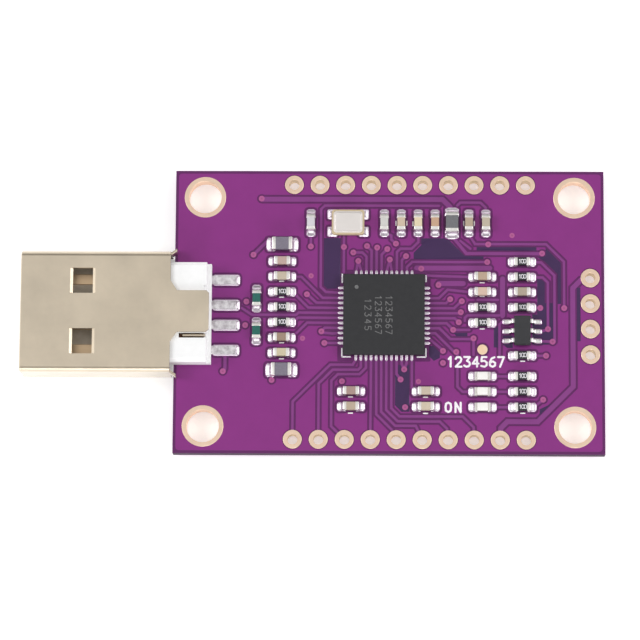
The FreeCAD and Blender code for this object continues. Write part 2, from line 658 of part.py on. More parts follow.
def mount_ring(x, y):
    """Barrel and pads of one mounting hole, with a true round bore."""
    outer = many_sided(x, y, 0, BOARD_TOP + RING_STAND, MOUNT_RING_R, MOUNT_RING_SIDES)
    return outer.cut(disc(x, y, -1, BOARD_TOP + 1, MOUNT_HOLE_R))


def header_ring(x, y):
    """Barrel and pads of one header hole."""
    outer = many_sided(x, y, 0, BOARD_TOP + RING_STAND, HEADER_RING_R, PAD_SIDES)
    return outer.cut(many_sided(x, y, -1, BOARD_TOP + 1, HEADER_HOLE_R, BORE_SIDES))


# Chip parts


def place(shape, x, y, turned):
    if turned:
        shape.rotate(Vector(0, 0, 0), Vector(0, 0, 1), 90)
    shape.translate(Vector(x, y, 0))
    return shape


def chip_block(length, width, height):
    """Ceramic body with a slightly proud metal band round each end."""
    inner_half = width / 2 - END_PROUD
    shoulder = length / 2 - END_BAND
    solid = box(-shoulder, shoulder, -inner_half, inner_half, SEAT_Z + END_PROUD, SEAT_Z + height - END_PROUD)
    for sign in (-1, 1):
        x0 = sign * (length / 2 - END_BAND)
        x1 = sign * length / 2
        end = box(min(x0, x1), max(x0, x1), -width / 2, width / 2, SEAT_Z, SEAT_Z + height)
        solid = solid.fuse(end)
    return solid


def led_block(length, width, height):
    """Clear lens block, rounded over its long edges, on a thin carrier strip."""
    carrier_top = SEAT_Z + LED_CARRIER
    solid = box(-length / 2, length / 2, -width / 2, width / 2, SEAT_Z, carrier_top)
    lens_half = length / 2 - LED_LENS_INSET
    lens = box(-lens_half, lens_half, -width / 2, width / 2, carrier_top, SEAT_Z + height)
    edges = [e for e in lens.Edges if e.CenterOfMass.z > SEAT_Z + height - 0.01]
    return solid.fuse(lens.makeChamfer(LED_LENS_EDGE, edges))


def make_chip_part(entry):
    name, family, x, y, turned = entry
    length, width, height = FAMILY_SIZE[family]
    if family == "led":
        solid = led_block(length, width, height)
    else:
        solid = chip_block(length, width, height)
    return place(one_solid(solid), x, y, turned)


def end_joint(length, width, height):
    """Solder of one end: a film under the end band and a wedge up its face."""
    rise = min(WEDGE_RISE_SHARE * height, WEDGE_RISE_MOST)
    reach = length / 2 + WEDGE_REACH
    inside = length / 2 - FILM_UNDER
    points = [
        (inside, BOARD_TOP),
        (reach, BOARD_TOP),
        (length / 2, SEAT_Z + rise),
        (length / 2, SEAT_Z),
        (inside, SEAT_Z),
    ]
    return profile_prism(points, width + 2 * WEDGE_SIDE)


def make_joints(entry):
    name, family, x, y, turned = entry
    length, width, height = FAMILY_SIZE[family]
    right = end_joint(length, width, height)
    left = end_joint(length, width, height)
    left.rotate(Vector(0, 0, 0), Vector(0, 0, 1), 180)
    return [place(right, x, y, turned), place(left, x, y, turned)]


def joint_group(name):
    """Which field of the board a chip part stands in, by its name."""
    if "_left" in name or "_data" in name:
        return "left"
    if "_row" in name:
        return "row"
    if "_near" in name:
        return "near"
    return "right"


# Main chip


def around_main(shape_maker):
    """One row of copies on each of the four sides of the main chip."""
    result = []
    first = -MAIN_PITCH * (MAIN_PER_SIDE - 1) / 2
    for side in range(4):
        for i in range(MAIN_PER_SIDE):
            shape = shape_maker()
            shape.translate(Vector(0, first + MAIN_PITCH * i, 0))
            shape.rotate(Vector(0, 0, 0), Vector(0, 0, 1), 90 * side)
            shape.translate(Vector(MAIN_X, MAIN_Y, 0))
            result.append(shape)
    return result


def terminal():
    half = MAIN_SIZE / 2
    wide = TERMINAL_WIDTH / 2
    return box(half - TERMINAL_LENGTH, half, -wide, wide, SEAT_Z, SEAT_Z + TERMINAL_HEIGHT)


def terminal_toe():
    """Solder toe in front of a terminal."""
    half = MAIN_SIZE / 2
    points = [
        (half - TERMINAL_LENGTH, BOARD_TOP),
        (half + TERMINAL_TOE, BOARD_TOP),
        (half, SEAT_Z),
        (half - TERMINAL_LENGTH, SEAT_Z),
    ]
    return profile_prism(points, TERMINAL_WIDTH)


def make_thermal_pad():
    half = THERMAL_PAD_SIZE / 2
    top = SEAT_Z + THERMAL_PAD_DEPTH
    return box(MAIN_X - half, MAIN_X + half, MAIN_Y - half, MAIN_Y + half, BOARD_TOP, top)


def make_main_body(pad):
    """Moulded square body on a foot that stands between the four rows of terminals."""
    half = MAIN_SIZE / 2
    top = SEAT_Z + MAIN_HEIGHT
    shelf = SEAT_Z + TERMINAL_HEIGHT
    body = box(MAIN_X - half, MAIN_X + half, MAIN_Y - half, MAIN_Y + half, shelf, top)
    inner = half - TERMINAL_LENGTH
    foot = box(MAIN_X - inner, MAIN_X + inner, MAIN_Y - inner, MAIN_Y + inner, SEAT_Z, shelf)
    rim = [e for e in body.Edges if abs(e.CenterOfMass.z - top) < 1e-6]
    body = body.makeChamfer(MAIN_EDGE, rim)
    dot_x = MAIN_X - half + PIN_ONE_INSET
    dot_y = MAIN_Y + half - PIN_ONE_INSET
    dot = many_sided(dot_x, dot_y, top - PIN_ONE_DEPTH, top + 1, PIN_ONE_R, DOT_SIDES)
    return one_solid(body.fuse(foot).cut(Part.makeCompound([pad, dot])))


# Memory chip


def memory_leads():
    """Six leads, each bent down from the body and out to a flat foot."""
    mid_z = SEAT_Z + MEMORY_STANDOFF + MEMORY_HEIGHT / 2
    body = MEMORY_WIDTH / 2
    knee = body + LEAD_SHOULDER
    heel = MEMORY_SPAN / 2 - LEAD_FOOT
    toe = MEMORY_SPAN / 2
    t = LEAD_THICKNESS
    points = [
        (body - LEAD_ROOT, mid_z - t / 2),
        (knee - 0.03, mid_z - t / 2),
        (heel - t, SEAT_Z),
        (toe, SEAT_Z),
        (toe, SEAT_Z + t),
        (heel + 0.02, SEAT_Z + t),
        (knee + t * 0.6, mid_z + t / 2),
        (body - LEAD_ROOT, mid_z + t / 2),
    ]
    leads = []
    for side in (0, 180):
        for i in (-1, 0, 1):
            lead = profile_prism(points, LEAD_WIDTH)
            lead.rotate(Vector(0, 0, 0), Vector(0, 0, 1), side)
            lead.translate(Vector(MEMORY_X, MEMORY_Y + i * MEMORY_LEAD_PITCH, 0))
            leads.append(lead)
    return leads


def memory_joints():
    """Solder film and toe under each foot."""
    inside = MEMORY_SPAN / 2 - LEAD_FOOT
    toe = MEMORY_SPAN / 2
    points = [
        (inside, BOARD_TOP),
        (toe + MEMORY_TOE, BOARD_TOP),
        (toe, SEAT_Z + MEMORY_TOE_HEIGHT),
        (toe, SEAT_Z),
        (inside, SEAT_Z),
    ]
    joints = []
    for side in (0, 180):
        for i in (-1, 0, 1):
            joint = profile_prism(points, LEAD_WIDTH + 2 * MEMORY_PAD_MARGIN)
            joint.rotate(Vector(0, 0, 0), Vector(0, 0, 1), side)
            joint.translate(Vector(MEMORY_X, MEMORY_Y + i * MEMORY_LEAD_PITCH, 0))
            joints.append(joint)
    return joints


def make_memory_body(leads):
    """Moulded body, drafted away from the lead plane both ways."""
    z0 = SEAT_Z + MEMORY_STANDOFF
    z1 = z0 + MEMORY_HEIGHT
    mid = (z0 + z1) / 2
    halves = []
    for z_end in (z0, z1):
        wires = []
        for z, shrink in ((mid, 0.0), (z_end, MEMORY_DRAFT)):
            hx = MEMORY_WIDTH / 2 - shrink
            hy = MEMORY_LENGTH / 2 - shrink
            corners = rectangle(MEMORY_X - hx, MEMORY_X + hx, MEMORY_Y - hy, MEMORY_Y + hy)
            ring = [Vector(x, y, z) for x, y in corners + corners[:1]]
            wires.append(Part.makePolygon(ring))
        halves.append(Part.makeLoft(wires, True, True))
    body = halves[0].fuse(halves[1])
    return one_solid(body.cut(Part.makeCompound(leads)))


# Crystal


def make_crystal_base():
    hx = CRYSTAL_LENGTH / 2
    hy = CRYSTAL_WIDTH / 2
    z1 = SEAT_Z + CRYSTAL_BASE_HEIGHT
    base = box(CRYSTAL_X - hx, CRYSTAL_X + hx, CRYSTAL_Y - hy, CRYSTAL_Y + hy, SEAT_Z, z1)
    notches = []
    for sx in (-1, 1):
        for sy in (-1, 1):
            x = CRYSTAL_X + sx * hx
            y = CRYSTAL_Y + sy * hy
            notches.append(many_sided(x, y, SEAT_Z - 1, z1 + 1, CRYSTAL_NOTCH_R, DOT_SIDES))
    return one_solid(base.cut(Part.makeCompound(notches)))


def make_crystal_lid():
    """Seam-welded metal lid with rounded corners and a broken top edge."""
    hx = CRYSTAL_LENGTH / 2 - CRYSTAL_LID_INSET
    hy = CRYSTAL_WIDTH / 2 - CRYSTAL_LID_INSET
    z0 = SEAT_Z + CRYSTAL_BASE_HEIGHT
    z1 = z0 + CRYSTAL_LID_HEIGHT
    lid = box(CRYSTAL_X - hx, CRYSTAL_X + hx, CRYSTAL_Y - hy, CRYSTAL_Y + hy, z0, z1)
    uprights = [e for e in lid.Edges if abs(e.CenterOfMass.z - (z0 + z1) / 2) < 1e-6]
    lid = lid.makeChamfer(CRYSTAL_LID_CORNER, uprights)
    rim = [e for e in lid.Edges if abs(e.CenterOfMass.z - z1) < 1e-6]
    return one_solid(lid.makeChamfer(CRYSTAL_LID_EDGE, rim))


def crystal_joints():
    """Four solder pads reaching out past the ends of the crystal."""
    joints = []
    hx = CRYSTAL_LENGTH / 2
    points = [
        (hx - CRYSTAL_PAD_LENGTH + CRYSTAL_PAD_REACH, BOARD_TOP),
        (hx + CRYSTAL_PAD_REACH, BOARD_TOP),
        (hx + CRYSTAL_PAD_REACH / 2, BOARD_TOP + CRYSTAL_TOE_RISE),
        (hx, SEAT_Z + CRYSTAL_RISE),
        (hx, SEAT_Z),
        (hx - CRYSTAL_PAD_LENGTH + CRYSTAL_PAD_REACH, SEAT_Z),
    ]
    centre_y = CRYSTAL_WIDTH / 2 + CRYSTAL_PAD_OVERHANG - CRYSTAL_PAD_WIDTH / 2
    for side in (0, 180):
        for sy in (-1, 1):
            joint = profile_prism(points, CRYSTAL_PAD_WIDTH)
            joint.translate(Vector(0, sy * centre_y, 0))
            joint.rotate(Vector(0, 0, 0), Vector(0, 0, 1), side)
            joint.translate(Vector(CRYSTAL_X, CRYSTAL_Y, 0))
            joints.append(joint)
    return joints


# Plug


def rounded_tube(x0, x1, inset):
    """Plug section pulled along X, offset inwards by the given amount."""
    half = SHELL_WIDTH / 2 - inset
    solid = box(x0, x1, PLUG_Y - half, PLUG_Y + half, SHELL_BOTTOM_Z + inset, SHELL_TOP_Z - inset)
    long_edges = []
    for e in solid.Edges:
        if abs(e.tangentAt(e.FirstParameter).x) > 0.99:
            long_edges.append(e)
    return solid.makeFillet(SHELL_CORNER_R - inset, long_edges)


def window_cutters():
    """Latch windows through the two broad faces."""
    cutters = []
    for sign in (-1, 1):
        y = PLUG_Y + sign * WINDOW_OFFSET_Y
        half_w = WINDOW_WIDTH / 2
        half_l = WINDOW_LENGTH / 2
        cutters.append(box(WINDOW_X - half_l, WINDOW_X + half_l, y - half_w, y + half_w,
                           SHELL_TOP_Z - SHELL_WALL - 0.2, SHELL_TOP_Z + 0.2))
        cutters.append(box(WINDOW_X - half_l, WINDOW_X + half_l, y - half_w, y + half_w,
                           SHELL_BOTTOM_Z - 0.2, SHELL_BOTTOM_Z + SHELL_WALL))
    return cutters


def shell_ear(sign):
    """Small tab flared outwards at a rear corner of the shell."""
    side = PLUG_Y + sign * SHELL_WIDTH / 2
    inner = side - sign * SHELL_WALL
    z0 = BOARD_TOP + EAR_BOARD_GAP
    points = [
        (SHELL_REAR_X, inner),
        (SHELL_REAR_X, side),
        (SHELL_REAR_X + EAR_LENGTH, side + sign * EAR_FLARE),
        (SHELL_REAR_X + EAR_LENGTH, inner + sign * EAR_FLARE),
    ]
    return polygon_face(points, z0).extrude(Vector(0, 0, EAR_HEIGHT))


def top_tab():
    """Flat tab that runs back over the rear block from two slanted gussets."""
    half = TAB_WIDTH / 2
    side = [
        (SHELL_REAR_X, half + GUSSET_WIDTH),
        (SHELL_REAR_X + GUSSET_LENGTH, half),
        (TAB_REAR_X - TAB_CORNER, half),
        (TAB_REAR_X, half - TAB_CORNER),
    ]
    points = [(x, PLUG_Y + y) for x, y in side]
    points += [(x, PLUG_Y - y) for x, y in reversed(side)]
    return polygon_face(points, SHELL_TOP_Z - SHELL_WALL).extrude(Vector(0, 0, SHELL_WALL))


def make_shell():
    outer = rounded_tube(PLUG_FRONT_X, SHELL_REAR_X, 0.0)
    front = [e for e in outer.Edges if abs(e.CenterOfMass.x - PLUG_FRONT_X) < 1e-6]
    outer = outer.makeChamfer(SHELL_LIP, front)
    inner = rounded_tube(PLUG_FRONT_X - 1, SHELL_REAR_X + 1, SHELL_WALL)
    seam = box(PLUG_FRONT_X - 1, SHELL_REAR_X + 1, PLUG_Y - SEAM_WIDTH / 2, PLUG_Y + SEAM_WIDTH / 2,
               SHELL_BOTTOM_Z - 1, SHELL_BOTTOM_Z + SEAM_DEPTH)
    tube = outer.cut(Part.makeCompound([inner, seam] + window_cutters()))
    return one_solid(tube.multiFuse([top_tab(), shell_ear(-1), shell_ear(1)]))


def contact_strip(offset):
    """One contact from the tongue nose to its tail on the board."""
    outer = abs(offset) == CONTACT_OUTER_OFFSET
    front = OUTER_CONTACT_FRONT_X if outer else INNER_CONTACT_FRONT_X
    y = PLUG_Y + offset
    wide = CONTACT_WIDTH / 2
    narrow = TAIL_WIDTH / 2
    top = CONTACT_Z + CONTACT_THICKNESS
    step_x = BLOCK_REAR_X - TAIL_NECK_SETBACK
    strip = box(front, step_x, y - wide, y + wide, CONTACT_Z, top)
    strip = strip.makeChamfer(CONTACT_NOSE, edges_at(strip, front, top))
    tail = box(step_x, TAIL_REAR_X, y - narrow, y + narrow, CONTACT_Z, top)
    tail = tail.makeChamfer(CONTACT_NOSE, edges_at(tail, TAIL_REAR_X, top))
    return one_solid(strip.fuse(tail))


def tail_film(offset):
    y = PLUG_Y + offset
    half = TAIL_PAD_WIDTH / 2
    return box(TAIL_PAD_FRONT_X, TAIL_PAD_REAR_X, y - half, y + half, BOARD_TOP, SEAT_Z)


def make_insulator(contacts):
    """Tongue inside the shell, rear block over the board edge and its flange."""
    inner_half = SHELL_WIDTH / 2 - SHELL_WALL - TONGUE_SIDE_GAP
    floor = SHELL_BOTTOM_Z + SHELL_WALL
    roof = SHELL_TOP_Z - SHELL_WALL
    tongue = box(TONGUE_FRONT_X, BOARD_EDGE_X, PLUG_Y - inner_half, PLUG_Y + inner_half, floor, TONGUE_TOP_Z)
    bottom_edges = [e for e in tongue.Edges
                    if abs(e.tangentAt(e.FirstParameter).x) > 0.99 and e.CenterOfMass.z < floor + 0.01]
    tongue = tongue.makeChamfer(TONGUE_CORNER, bottom_edges)
    tongue = tongue.makeChamfer(TONGUE_NOSE, edges_at(tongue, TONGUE_FRONT_X, TONGUE_TOP_Z))
    half = BLOCK_WIDTH / 2
    low = PLUG_Y - half
    high = PLUG_Y + half
    flange_top = BOARD_TOP + FLANGE_HEIGHT
    waist = TAB_WIDTH / 2 + TAB_SIDE_GAP
    block = box(SHELL_REAR_X - BLOCK_INSIDE, BLOCK_REAR_X, low, high, BOARD_TOP, roof)
    block_rims = [e for e in block.Edges
                  if abs(e.tangentAt(e.FirstParameter).x) > 0.99 and e.CenterOfMass.z > roof - 0.01]
    block = block.makeChamfer(BLOCK_CHAMFER, block_rims)
    flange = box(BLOCK_REAR_X - FLANGE_LENGTH, FLANGE_REAR_X, low, high, BOARD_TOP, flange_top)
    flange = flange.makeChamfer(FLANGE_EDGE, edges_at(flange, FLANGE_REAR_X, flange_top))
    slot_y = PLUG_Y - waist - SLOT_WIDTH
    slot_x = BLOCK_REAR_X - SLOT_LENGTH
    slot = box(slot_x, BLOCK_REAR_X - TAB_SIDE_GAP, slot_y, slot_y + SLOT_WIDTH, roof - SLOT_DEPTH, roof + 1)
    rear_notches = []
    for sign in (-1, 1):
        y0 = PLUG_Y + sign * waist
        y1 = y0 + sign * REAR_NOTCH_WIDTH
        notch = box(BLOCK_REAR_X - REAR_NOTCH_DEPTH, BLOCK_REAR_X + 1, min(y0, y1), max(y0, y1),
                    roof - REAR_NOTCH_HEIGHT, roof + 1)
        rear_notches.append(notch)
    body = tongue.multiFuse([block, flange])
    return one_solid(body.cut(Part.makeCompound(contacts + [slot] + rear_notches)))


# Ink


def ink_bar(x0, x1, y0, y1):
    return box(x0, x1, y0, y1, BOARD_TOP, BOARD_TOP + INK_THICKNESS)


def make_ink():
    """Corner marks round the main chip, each stopped short of the terminals."""
    w = INK_WIDTH
    reach = MAIN_SIZE / 2 + INK_GAP
    left = MAIN_X - reach
    right = MAIN_X + reach
    low = MAIN_Y - reach
    high = MAIN_Y + reach
    stop = MAIN_PITCH * (MAIN_PER_SIDE - 1) / 2 + TERMINAL_WIDTH / 2 + INK_PIN_GAP
    bars = [ink_bar(left - w, left, MAIN_Y + stop, high + w)]
    for sign in (-1, 1):
        inside = MAIN_X + sign * reach
        outside = inside + sign * w
        foot_end = MAIN_X + sign * stop
        upright = ink_bar(min(inside, outside), max(inside, outside), low - w, MAIN_Y - stop)
        foot = ink_bar(min(outside, foot_end), max(outside, foot_end), low - w, low)
        bars.append(one_solid(upright.fuse(foot)))
    bars.append(ink_bar(right, right + w, MAIN_Y + stop + INK_SHORTER, high))
    return bars


# Build every piece

save("board", [make_board()])
save("mounting_hole_rings", [mount_ring(x, y) for x, y in mount_centres()])
save("header_rings_far", [header_ring(x, y) for x, y in header_row(HEADER_ROW_Y)])
save("header_rings_near", [header_ring(x, y) for x, y in header_row(-HEADER_ROW_Y)])
save("header_rings_side", [header_ring(x, y) for x, y in side_column()])
pad_floor = BOARD_TOP - COPPER_DEPTH
pad_top = BOARD_TOP + RING_STAND
save("test_pad", [many_sided(TEST_PAD_X, TEST_PAD_Y, pad_floor, pad_top, TEST_PAD_R, PAD_SIDES)])
save("ink_marks", make_ink())

contacts = [contact_strip(offset) for offset in CONTACT_OFFSETS]
save("plug_contacts", contacts)
save("plug_insulator", [make_insulator(contacts)])
save("plug_shell", [make_shell()])

terminals = around_main(terminal)
thermal_pad = make_thermal_pad()
save("main_chip_terminals", terminals)
save("main_chip_thermal_pad", [thermal_pad])
save("main_chip_body", [make_main_body(thermal_pad)])

leads = memory_leads()
save("memory_chip_leads", leads)
save("memory_chip_body", [make_memory_body(leads)])

save("crystal_base", [make_crystal_base()])
save("crystal_lid", [make_crystal_lid()])

joints = {"left": [], "row": [], "right": [], "near": []}
for entry in CHIP_PARTS:
    save(entry[0], [make_chip_part(entry)])
    joints[joint_group(entry[0])] += make_joints(entry)

save("solder_left", joints["left"] + [tail_film(offset) for offset in CONTACT_OFFSETS])
save("solder_row", joints["row"] + crystal_joints())
save("solder_right", joints["right"] + memory_joints())
save("solder_main", joints["near"] + around_main(terminal_toe))
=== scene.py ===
import functools
import math

import bmesh
import bpy
from bpy.props import FloatProperty, FloatVectorProperty, PointerProperty
from mathutils import Matrix, Vector
from mathutils.geometry import delaunay_2d_cdt, tessellate_polygon


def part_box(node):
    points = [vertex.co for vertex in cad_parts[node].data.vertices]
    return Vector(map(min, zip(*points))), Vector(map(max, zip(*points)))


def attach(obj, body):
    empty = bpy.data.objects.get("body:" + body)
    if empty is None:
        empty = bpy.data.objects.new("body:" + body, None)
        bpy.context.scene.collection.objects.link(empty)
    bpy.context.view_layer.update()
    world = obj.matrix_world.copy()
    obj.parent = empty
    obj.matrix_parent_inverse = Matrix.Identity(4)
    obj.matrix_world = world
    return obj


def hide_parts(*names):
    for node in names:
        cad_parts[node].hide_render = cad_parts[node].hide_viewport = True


bl_info = {
    "name": "USB to serial adapter board",
    "version": (1, 0, 0),
    "blender": (4, 5, 0),
    "location": "View3D > Sidebar > Adapter",
    "description": "Dresses the packed adapter board with its solder mask, plating, chips and plug",
    "category": "Object",
}

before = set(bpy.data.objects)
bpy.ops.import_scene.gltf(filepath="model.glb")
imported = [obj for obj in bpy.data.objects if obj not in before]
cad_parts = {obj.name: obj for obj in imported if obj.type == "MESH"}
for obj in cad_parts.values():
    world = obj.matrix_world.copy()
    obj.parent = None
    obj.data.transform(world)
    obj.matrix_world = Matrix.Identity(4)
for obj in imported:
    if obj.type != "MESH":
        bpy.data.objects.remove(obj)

# Lengths below are millimetres in the part's frame; a mesh is scaled once, when it is made.
MM = 0.001


def node_box(node):
    """Low and high corner of a node, in millimetres."""
    low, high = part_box(node)
    return low / MM, high / MM


BOARD_HIGH = node_box("board")[1]
BOARD_TOP = BOARD_HIGH.z
SEAT_Z = node_box("main_chip_terminals")[0].z


def srgb(red, green, blue):
    """Scene-linear colour from screen values of 0 to 255."""
    return tuple(((c / 255 + 0.055) / 1.055) ** 2.4 if c > 10 else c / 255 / 12.92
                 for c in (red, green, blue))


def scaled(colour, factor):
    """A colour with every channel multiplied."""
    return tuple(c * factor for c in tuple(colour)[:3])


# Sizes and colours that a user may change

COLOUR = {"subtype": "COLOR", "size": 3, "min": 0, "max": 1}
LENGTH = {"unit": "LENGTH", "precision": 6}


class BoardProperties(bpy.types.PropertyGroup):
    """Solder mask, copper and plating of the board."""

    mask_over_copper: FloatVectorProperty(
        name="Mask over copper", description="Solder mask where copper lies under it",
        default=srgb(136, 40, 128), **COLOUR)
    mask_over_track: FloatVectorProperty(
        name="Mask over tracks",
        description="Solder mask over a narrow track, which thins it a little",
        default=srgb(134, 57, 132), **COLOUR)
    mask_in_clearance: FloatVectorProperty(
        name="Mask in the clearances", description="Solder mask beside tracks and along the edges",
        default=srgb(97, 27, 95), **COLOUR)
    mask_over_laminate: FloatVectorProperty(
        name="Mask over laminate", description="Solder mask where the copper is etched away",
        default=srgb(62, 33, 82), **COLOUR)
    via_colour: FloatVectorProperty(
        name="Covered vias", description="Mask over the small plated vias",
        default=srgb(178, 88, 146), **COLOUR)
    gold: FloatVectorProperty(
        name="Gold plating", description="Plating of the hole rings",
        default=srgb(255, 225, 199), **COLOUR)
    # A darker, yellower copy of the gold for the hole walls: painted shade inside the holes.
    gold_shaded_in_holes: FloatVectorProperty(
        name="Gold with painted shade in the holes", description="Plating on the walls of the header holes",
        default=srgb(244, 226, 190), **COLOUR)
    copper_step: FloatProperty(
        name="Copper thickness", description="Height of a track above the laminate",
        default=0.00003, min=0.00001, max=0.0001, **LENGTH)
    clearance: FloatProperty(
        name="Track clearance", description="Width of the etched gap beside a track",
        default=0.00019, min=0.0001, max=0.0004, **LENGTH)
    edge_strip: FloatProperty(
        name="Edge strip", description="Width of the strip without copper along the board's edges",
        default=0.00028, min=0.0001, max=0.0006, **LENGTH)


class ChipProperties(bpy.types.PropertyGroup):
    """Chip parts, their solder and the moulded chips."""

    solder_rise: FloatProperty(
        name="Solder rise", description="Share of a part's height that the solder climbs",
        default=0.55, min=0.2, max=0.9)
    edge_radius: FloatProperty(
        name="Edge radius", description="Rounding of a chip part's metal ends",
        default=0.00007, min=0.00002, max=0.0001, **LENGTH)
    moulding: FloatVectorProperty(
        name="Moulding", description="Moulding compound of the two chips",
        default=srgb(36, 36, 39), **COLOUR)
    # Near white is the solder's own colour; its lilac tint is a painted reflection of the purple
    # mask.
    solder: FloatVectorProperty(
        name="Solder", description="Reflowed solder",
        default=srgb(230, 219, 230), **COLOUR)


class PlugProperties(bpy.types.PropertyGroup):
    """The plug at the end of the board."""

    shell_colour: FloatVectorProperty(
        name="Plug steel", description="Plated steel sheet that the plug is folded from",
        default=srgb(223, 208, 184), **COLOUR)
    moulding: FloatVectorProperty(
        name="White moulding", description="Insulator inside and behind the steel",
        default=srgb(254, 254, 254), **COLOUR)
    edge: FloatProperty(
        name="Sheet edge", description="Rounding of the sheet's cut edges",
        default=0.00005, min=0.00001, max=0.0001, **LENGTH)


class StageProperties(bpy.types.PropertyGroup):
    """Floor, light and camera."""

    floor_colour: FloatVectorProperty(
        name="Floor", description="Colour of the plain floor",
        default=(0.93, 0.93, 0.935), **COLOUR)
    sky_horizon: FloatProperty(
        name="Light from the sides", description="Strength of the white room near the floor",
        default=1.0, min=0, max=3)
    sky_zenith: FloatProperty(
        name="Light from overhead", description="Strength of the white room straight above",
        default=0.84, min=0, max=3)
    sky_gap: FloatProperty(
        name="Gap above the walls",
        description="How much darker the gap between the walls and the ceiling is",
        default=0.85, min=0, max=1)
    floor_glow: FloatProperty(
        name="Floor glow", description="Light that the translucent floor gives off",
        default=0.40, min=0, max=1)
    key_power: FloatProperty(
        name="Key power", description="Watts of each broad side light",
        default=1.08, min=0, max=10, unit="POWER")
    lens: FloatProperty(
        name="Lens", description="Focal length of the camera in millimetres",
        default=188.725, min=20, max=400)
    floor_size: FloatProperty(
        name="Floor size", description="Side of the square floor",
        default=3.0, min=0.2, max=10, unit="LENGTH")


# Mesh helpers


class Form:
    """Points and faces of one piece, gathered in millimetres."""

    def __init__(self):
        self.points = []
        self.faces = []
        self.finishes = []

    def add(self, points, faces, finish=0):
        start = len(self.points)
        self.points += [tuple(p) for p in points]
        for face in faces:
            self.faces.append([start + i for i in face])
            self.finishes.append(finish)

    def piece(self, name, materials, slot, nodes=(), smooth=None, weld=0.0):
        """Makes the piece; smooth is in degrees and weld in millimetres."""
        mesh = bpy.data.meshes.new(name)
        mesh.from_pydata([(x * MM, y * MM, z * MM) for x, y, z in self.points], [], self.faces)
        for material in materials:
            mesh.materials.append(material)
        mesh.polygons.foreach_set("material_index", self.finishes)
        if weld:
            bm = bmesh.new()
            bm.from_mesh(mesh)
            bmesh.ops.remove_doubles(bm, verts=bm.verts, dist=weld * MM)
            bm.to_mesh(mesh)
            bm.free()
        finish_mesh(mesh, smooth)
        return placed(mesh, nodes, even=smooth is not None)


def finish_mesh(mesh, smooth):
    """Recalculates the normals; smooth is the angle in degrees past which an edge stays sharp."""
    bm = bmesh.new()
    bm.from_mesh(mesh)
    bmesh.ops.recalc_face_normals(bm, faces=bm.faces)
    bm.to_mesh(mesh)
    bm.free()
    if smooth is not None:
        mesh.polygons.foreach_set("use_smooth", [True] * len(mesh.polygons))
        mesh.set_sharp_from_angle(angle=math.radians(smooth))
    mesh.update()


def placed(mesh, nodes, even):
    """Puts a mesh in the scene on the part's one body, for the nodes that it stands for.

    even keeps broad flat faces flat in the shading beside their rounded edges.
    """
    obj = bpy.data.objects.new(mesh.name, mesh)
    bpy.context.scene.collection.objects.link(obj)
    if even:
        modifier = obj.modifiers.new("Even normals", "WEIGHTED_NORMAL")
        modifier.keep_sharp = True
        modifier.weight = 60
    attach(obj, "root")
    if nodes:
        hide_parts(*nodes)
    return obj


def circle(x, y, radius, count):
    """Closed ring of points, anticlockwise."""
    return [(x + radius * math.cos(2 * math.pi * i / count),
             y + radius * math.sin(2 * math.pi * i / count)) for i in range(count)]


def band(points, half, steps=5):
    """Outline of a centre line with mitred bends and round ends."""
    headings = [math.atan2(b[1] - a[1], b[0] - a[0]) for a, b in zip(points, points[1:])]
    left, right = [], []
    for i in range(1, len(points) - 1):
        before, after = headings[i - 1], headings[i]
        middle = (before + math.atan2(math.sin(after - before), math.cos(after - before)) / 2)
        stretch = half / math.cos(after - middle)
        nx, ny = -math.sin(middle) * stretch, math.cos(middle) * stretch
        left.append((points[i][0] + nx, points[i][1] + ny))
        right.append((points[i][0] - nx, points[i][1] - ny))
    ring = []
    quarter = math.pi / 2
    for centre, start, side in ((points[-1], headings[-1] - quarter, left[::-1]),
                                (points[0], headings[0] + quarter, right)):
        for i in range(steps + 1):
            angle = start + math.pi * i / steps
            ring.append((centre[0] + half * math.cos(angle), centre[1] + half * math.sin(angle)))
        ring += side
    return ring


def rounded_rectangle(half_x, half_y, radius, steps=4):
    """Closed ring round the origin, anticlockwise."""
    ring = []
    radius = min(radius, half_x * 0.999, half_y * 0.999)
    for cx, cy, start in ((1, 1, 0), (-1, 1, 90), (-1, -1, 180), (1, -1, 270)):
        for i in range(steps + 1):
            angle = math.radians(start + 90 * i / steps)
            ring.append((cx * (half_x - radius) + radius * math.cos(angle),
                         cy * (half_y - radius) + radius * math.sin(angle)))
    return ring


def loft(form, sections, finishes, cap=True):
    """Joins closed rings of equal count; finishes holds one index for each span."""
    count = len(sections[0])
    start = len(form.points)
    form.points += [p for ring in sections for p in ring]
    for k in range(len(sections) - 1):
        for i in range(count):
            j = (i + 1) % count
            a = start + k * count
            b = a + count
            form.faces.append([a + i, a + j, b + j, b + i])
            form.finishes.append(finishes[k])
    if cap:
        last = start + (len(sections) - 1) * count
        form.faces.append([start + i for i in range(count)][::-1])
        form.faces.append([last + i for i in range(count)])
        form.finishes += [finishes[0], finishes[-1]]


def lathe(form, x, y, profile, count, closed=True, first_finish=0):
    """Turns a profile of (radius, height) about an axis; its first step may have its own finish."""
    points = []
    for i in range(count):
        angle = 2 * math.pi * i / count
        points += [(x + r * math.cos(angle), y + r * math.sin(angle), z) for r, z in profile]
    size = len(profile)
    spans = size if closed else size - 1
    faces = []
    for i in range(count):
        a = i * size
        b = ((i + 1) % count) * size
        for k in range(spans):
            m = (k + 1) % size
            faces.append([a + k, b + k, b + m, a + m])
    form.add(points, faces)
    for i in range(count):
        form.finishes[(i - count) * spans] = first_finish


def rounded_stack(form, x, y, half_x, half_y, levels, steps=4, finish=0, cap=True, shift=0.0,
                  quarter=False):
    """Lofts rounded rectangles; a level is height, inset (one or a pair) and corner radius."""
    sections = []
    for z, inset, corner in levels:
        inset_x, inset_y = inset if isinstance(inset, tuple) else (inset, inset)
        ring = rounded_rectangle(half_x - inset_x, half_y - inset_y, corner, steps)
        sections.append([turned((shift + a, b, z), quarter, x, y) for a, b in ring])
    loft(form, sections, [finish] * (len(sections) - 1), cap)
    return sections[-1]


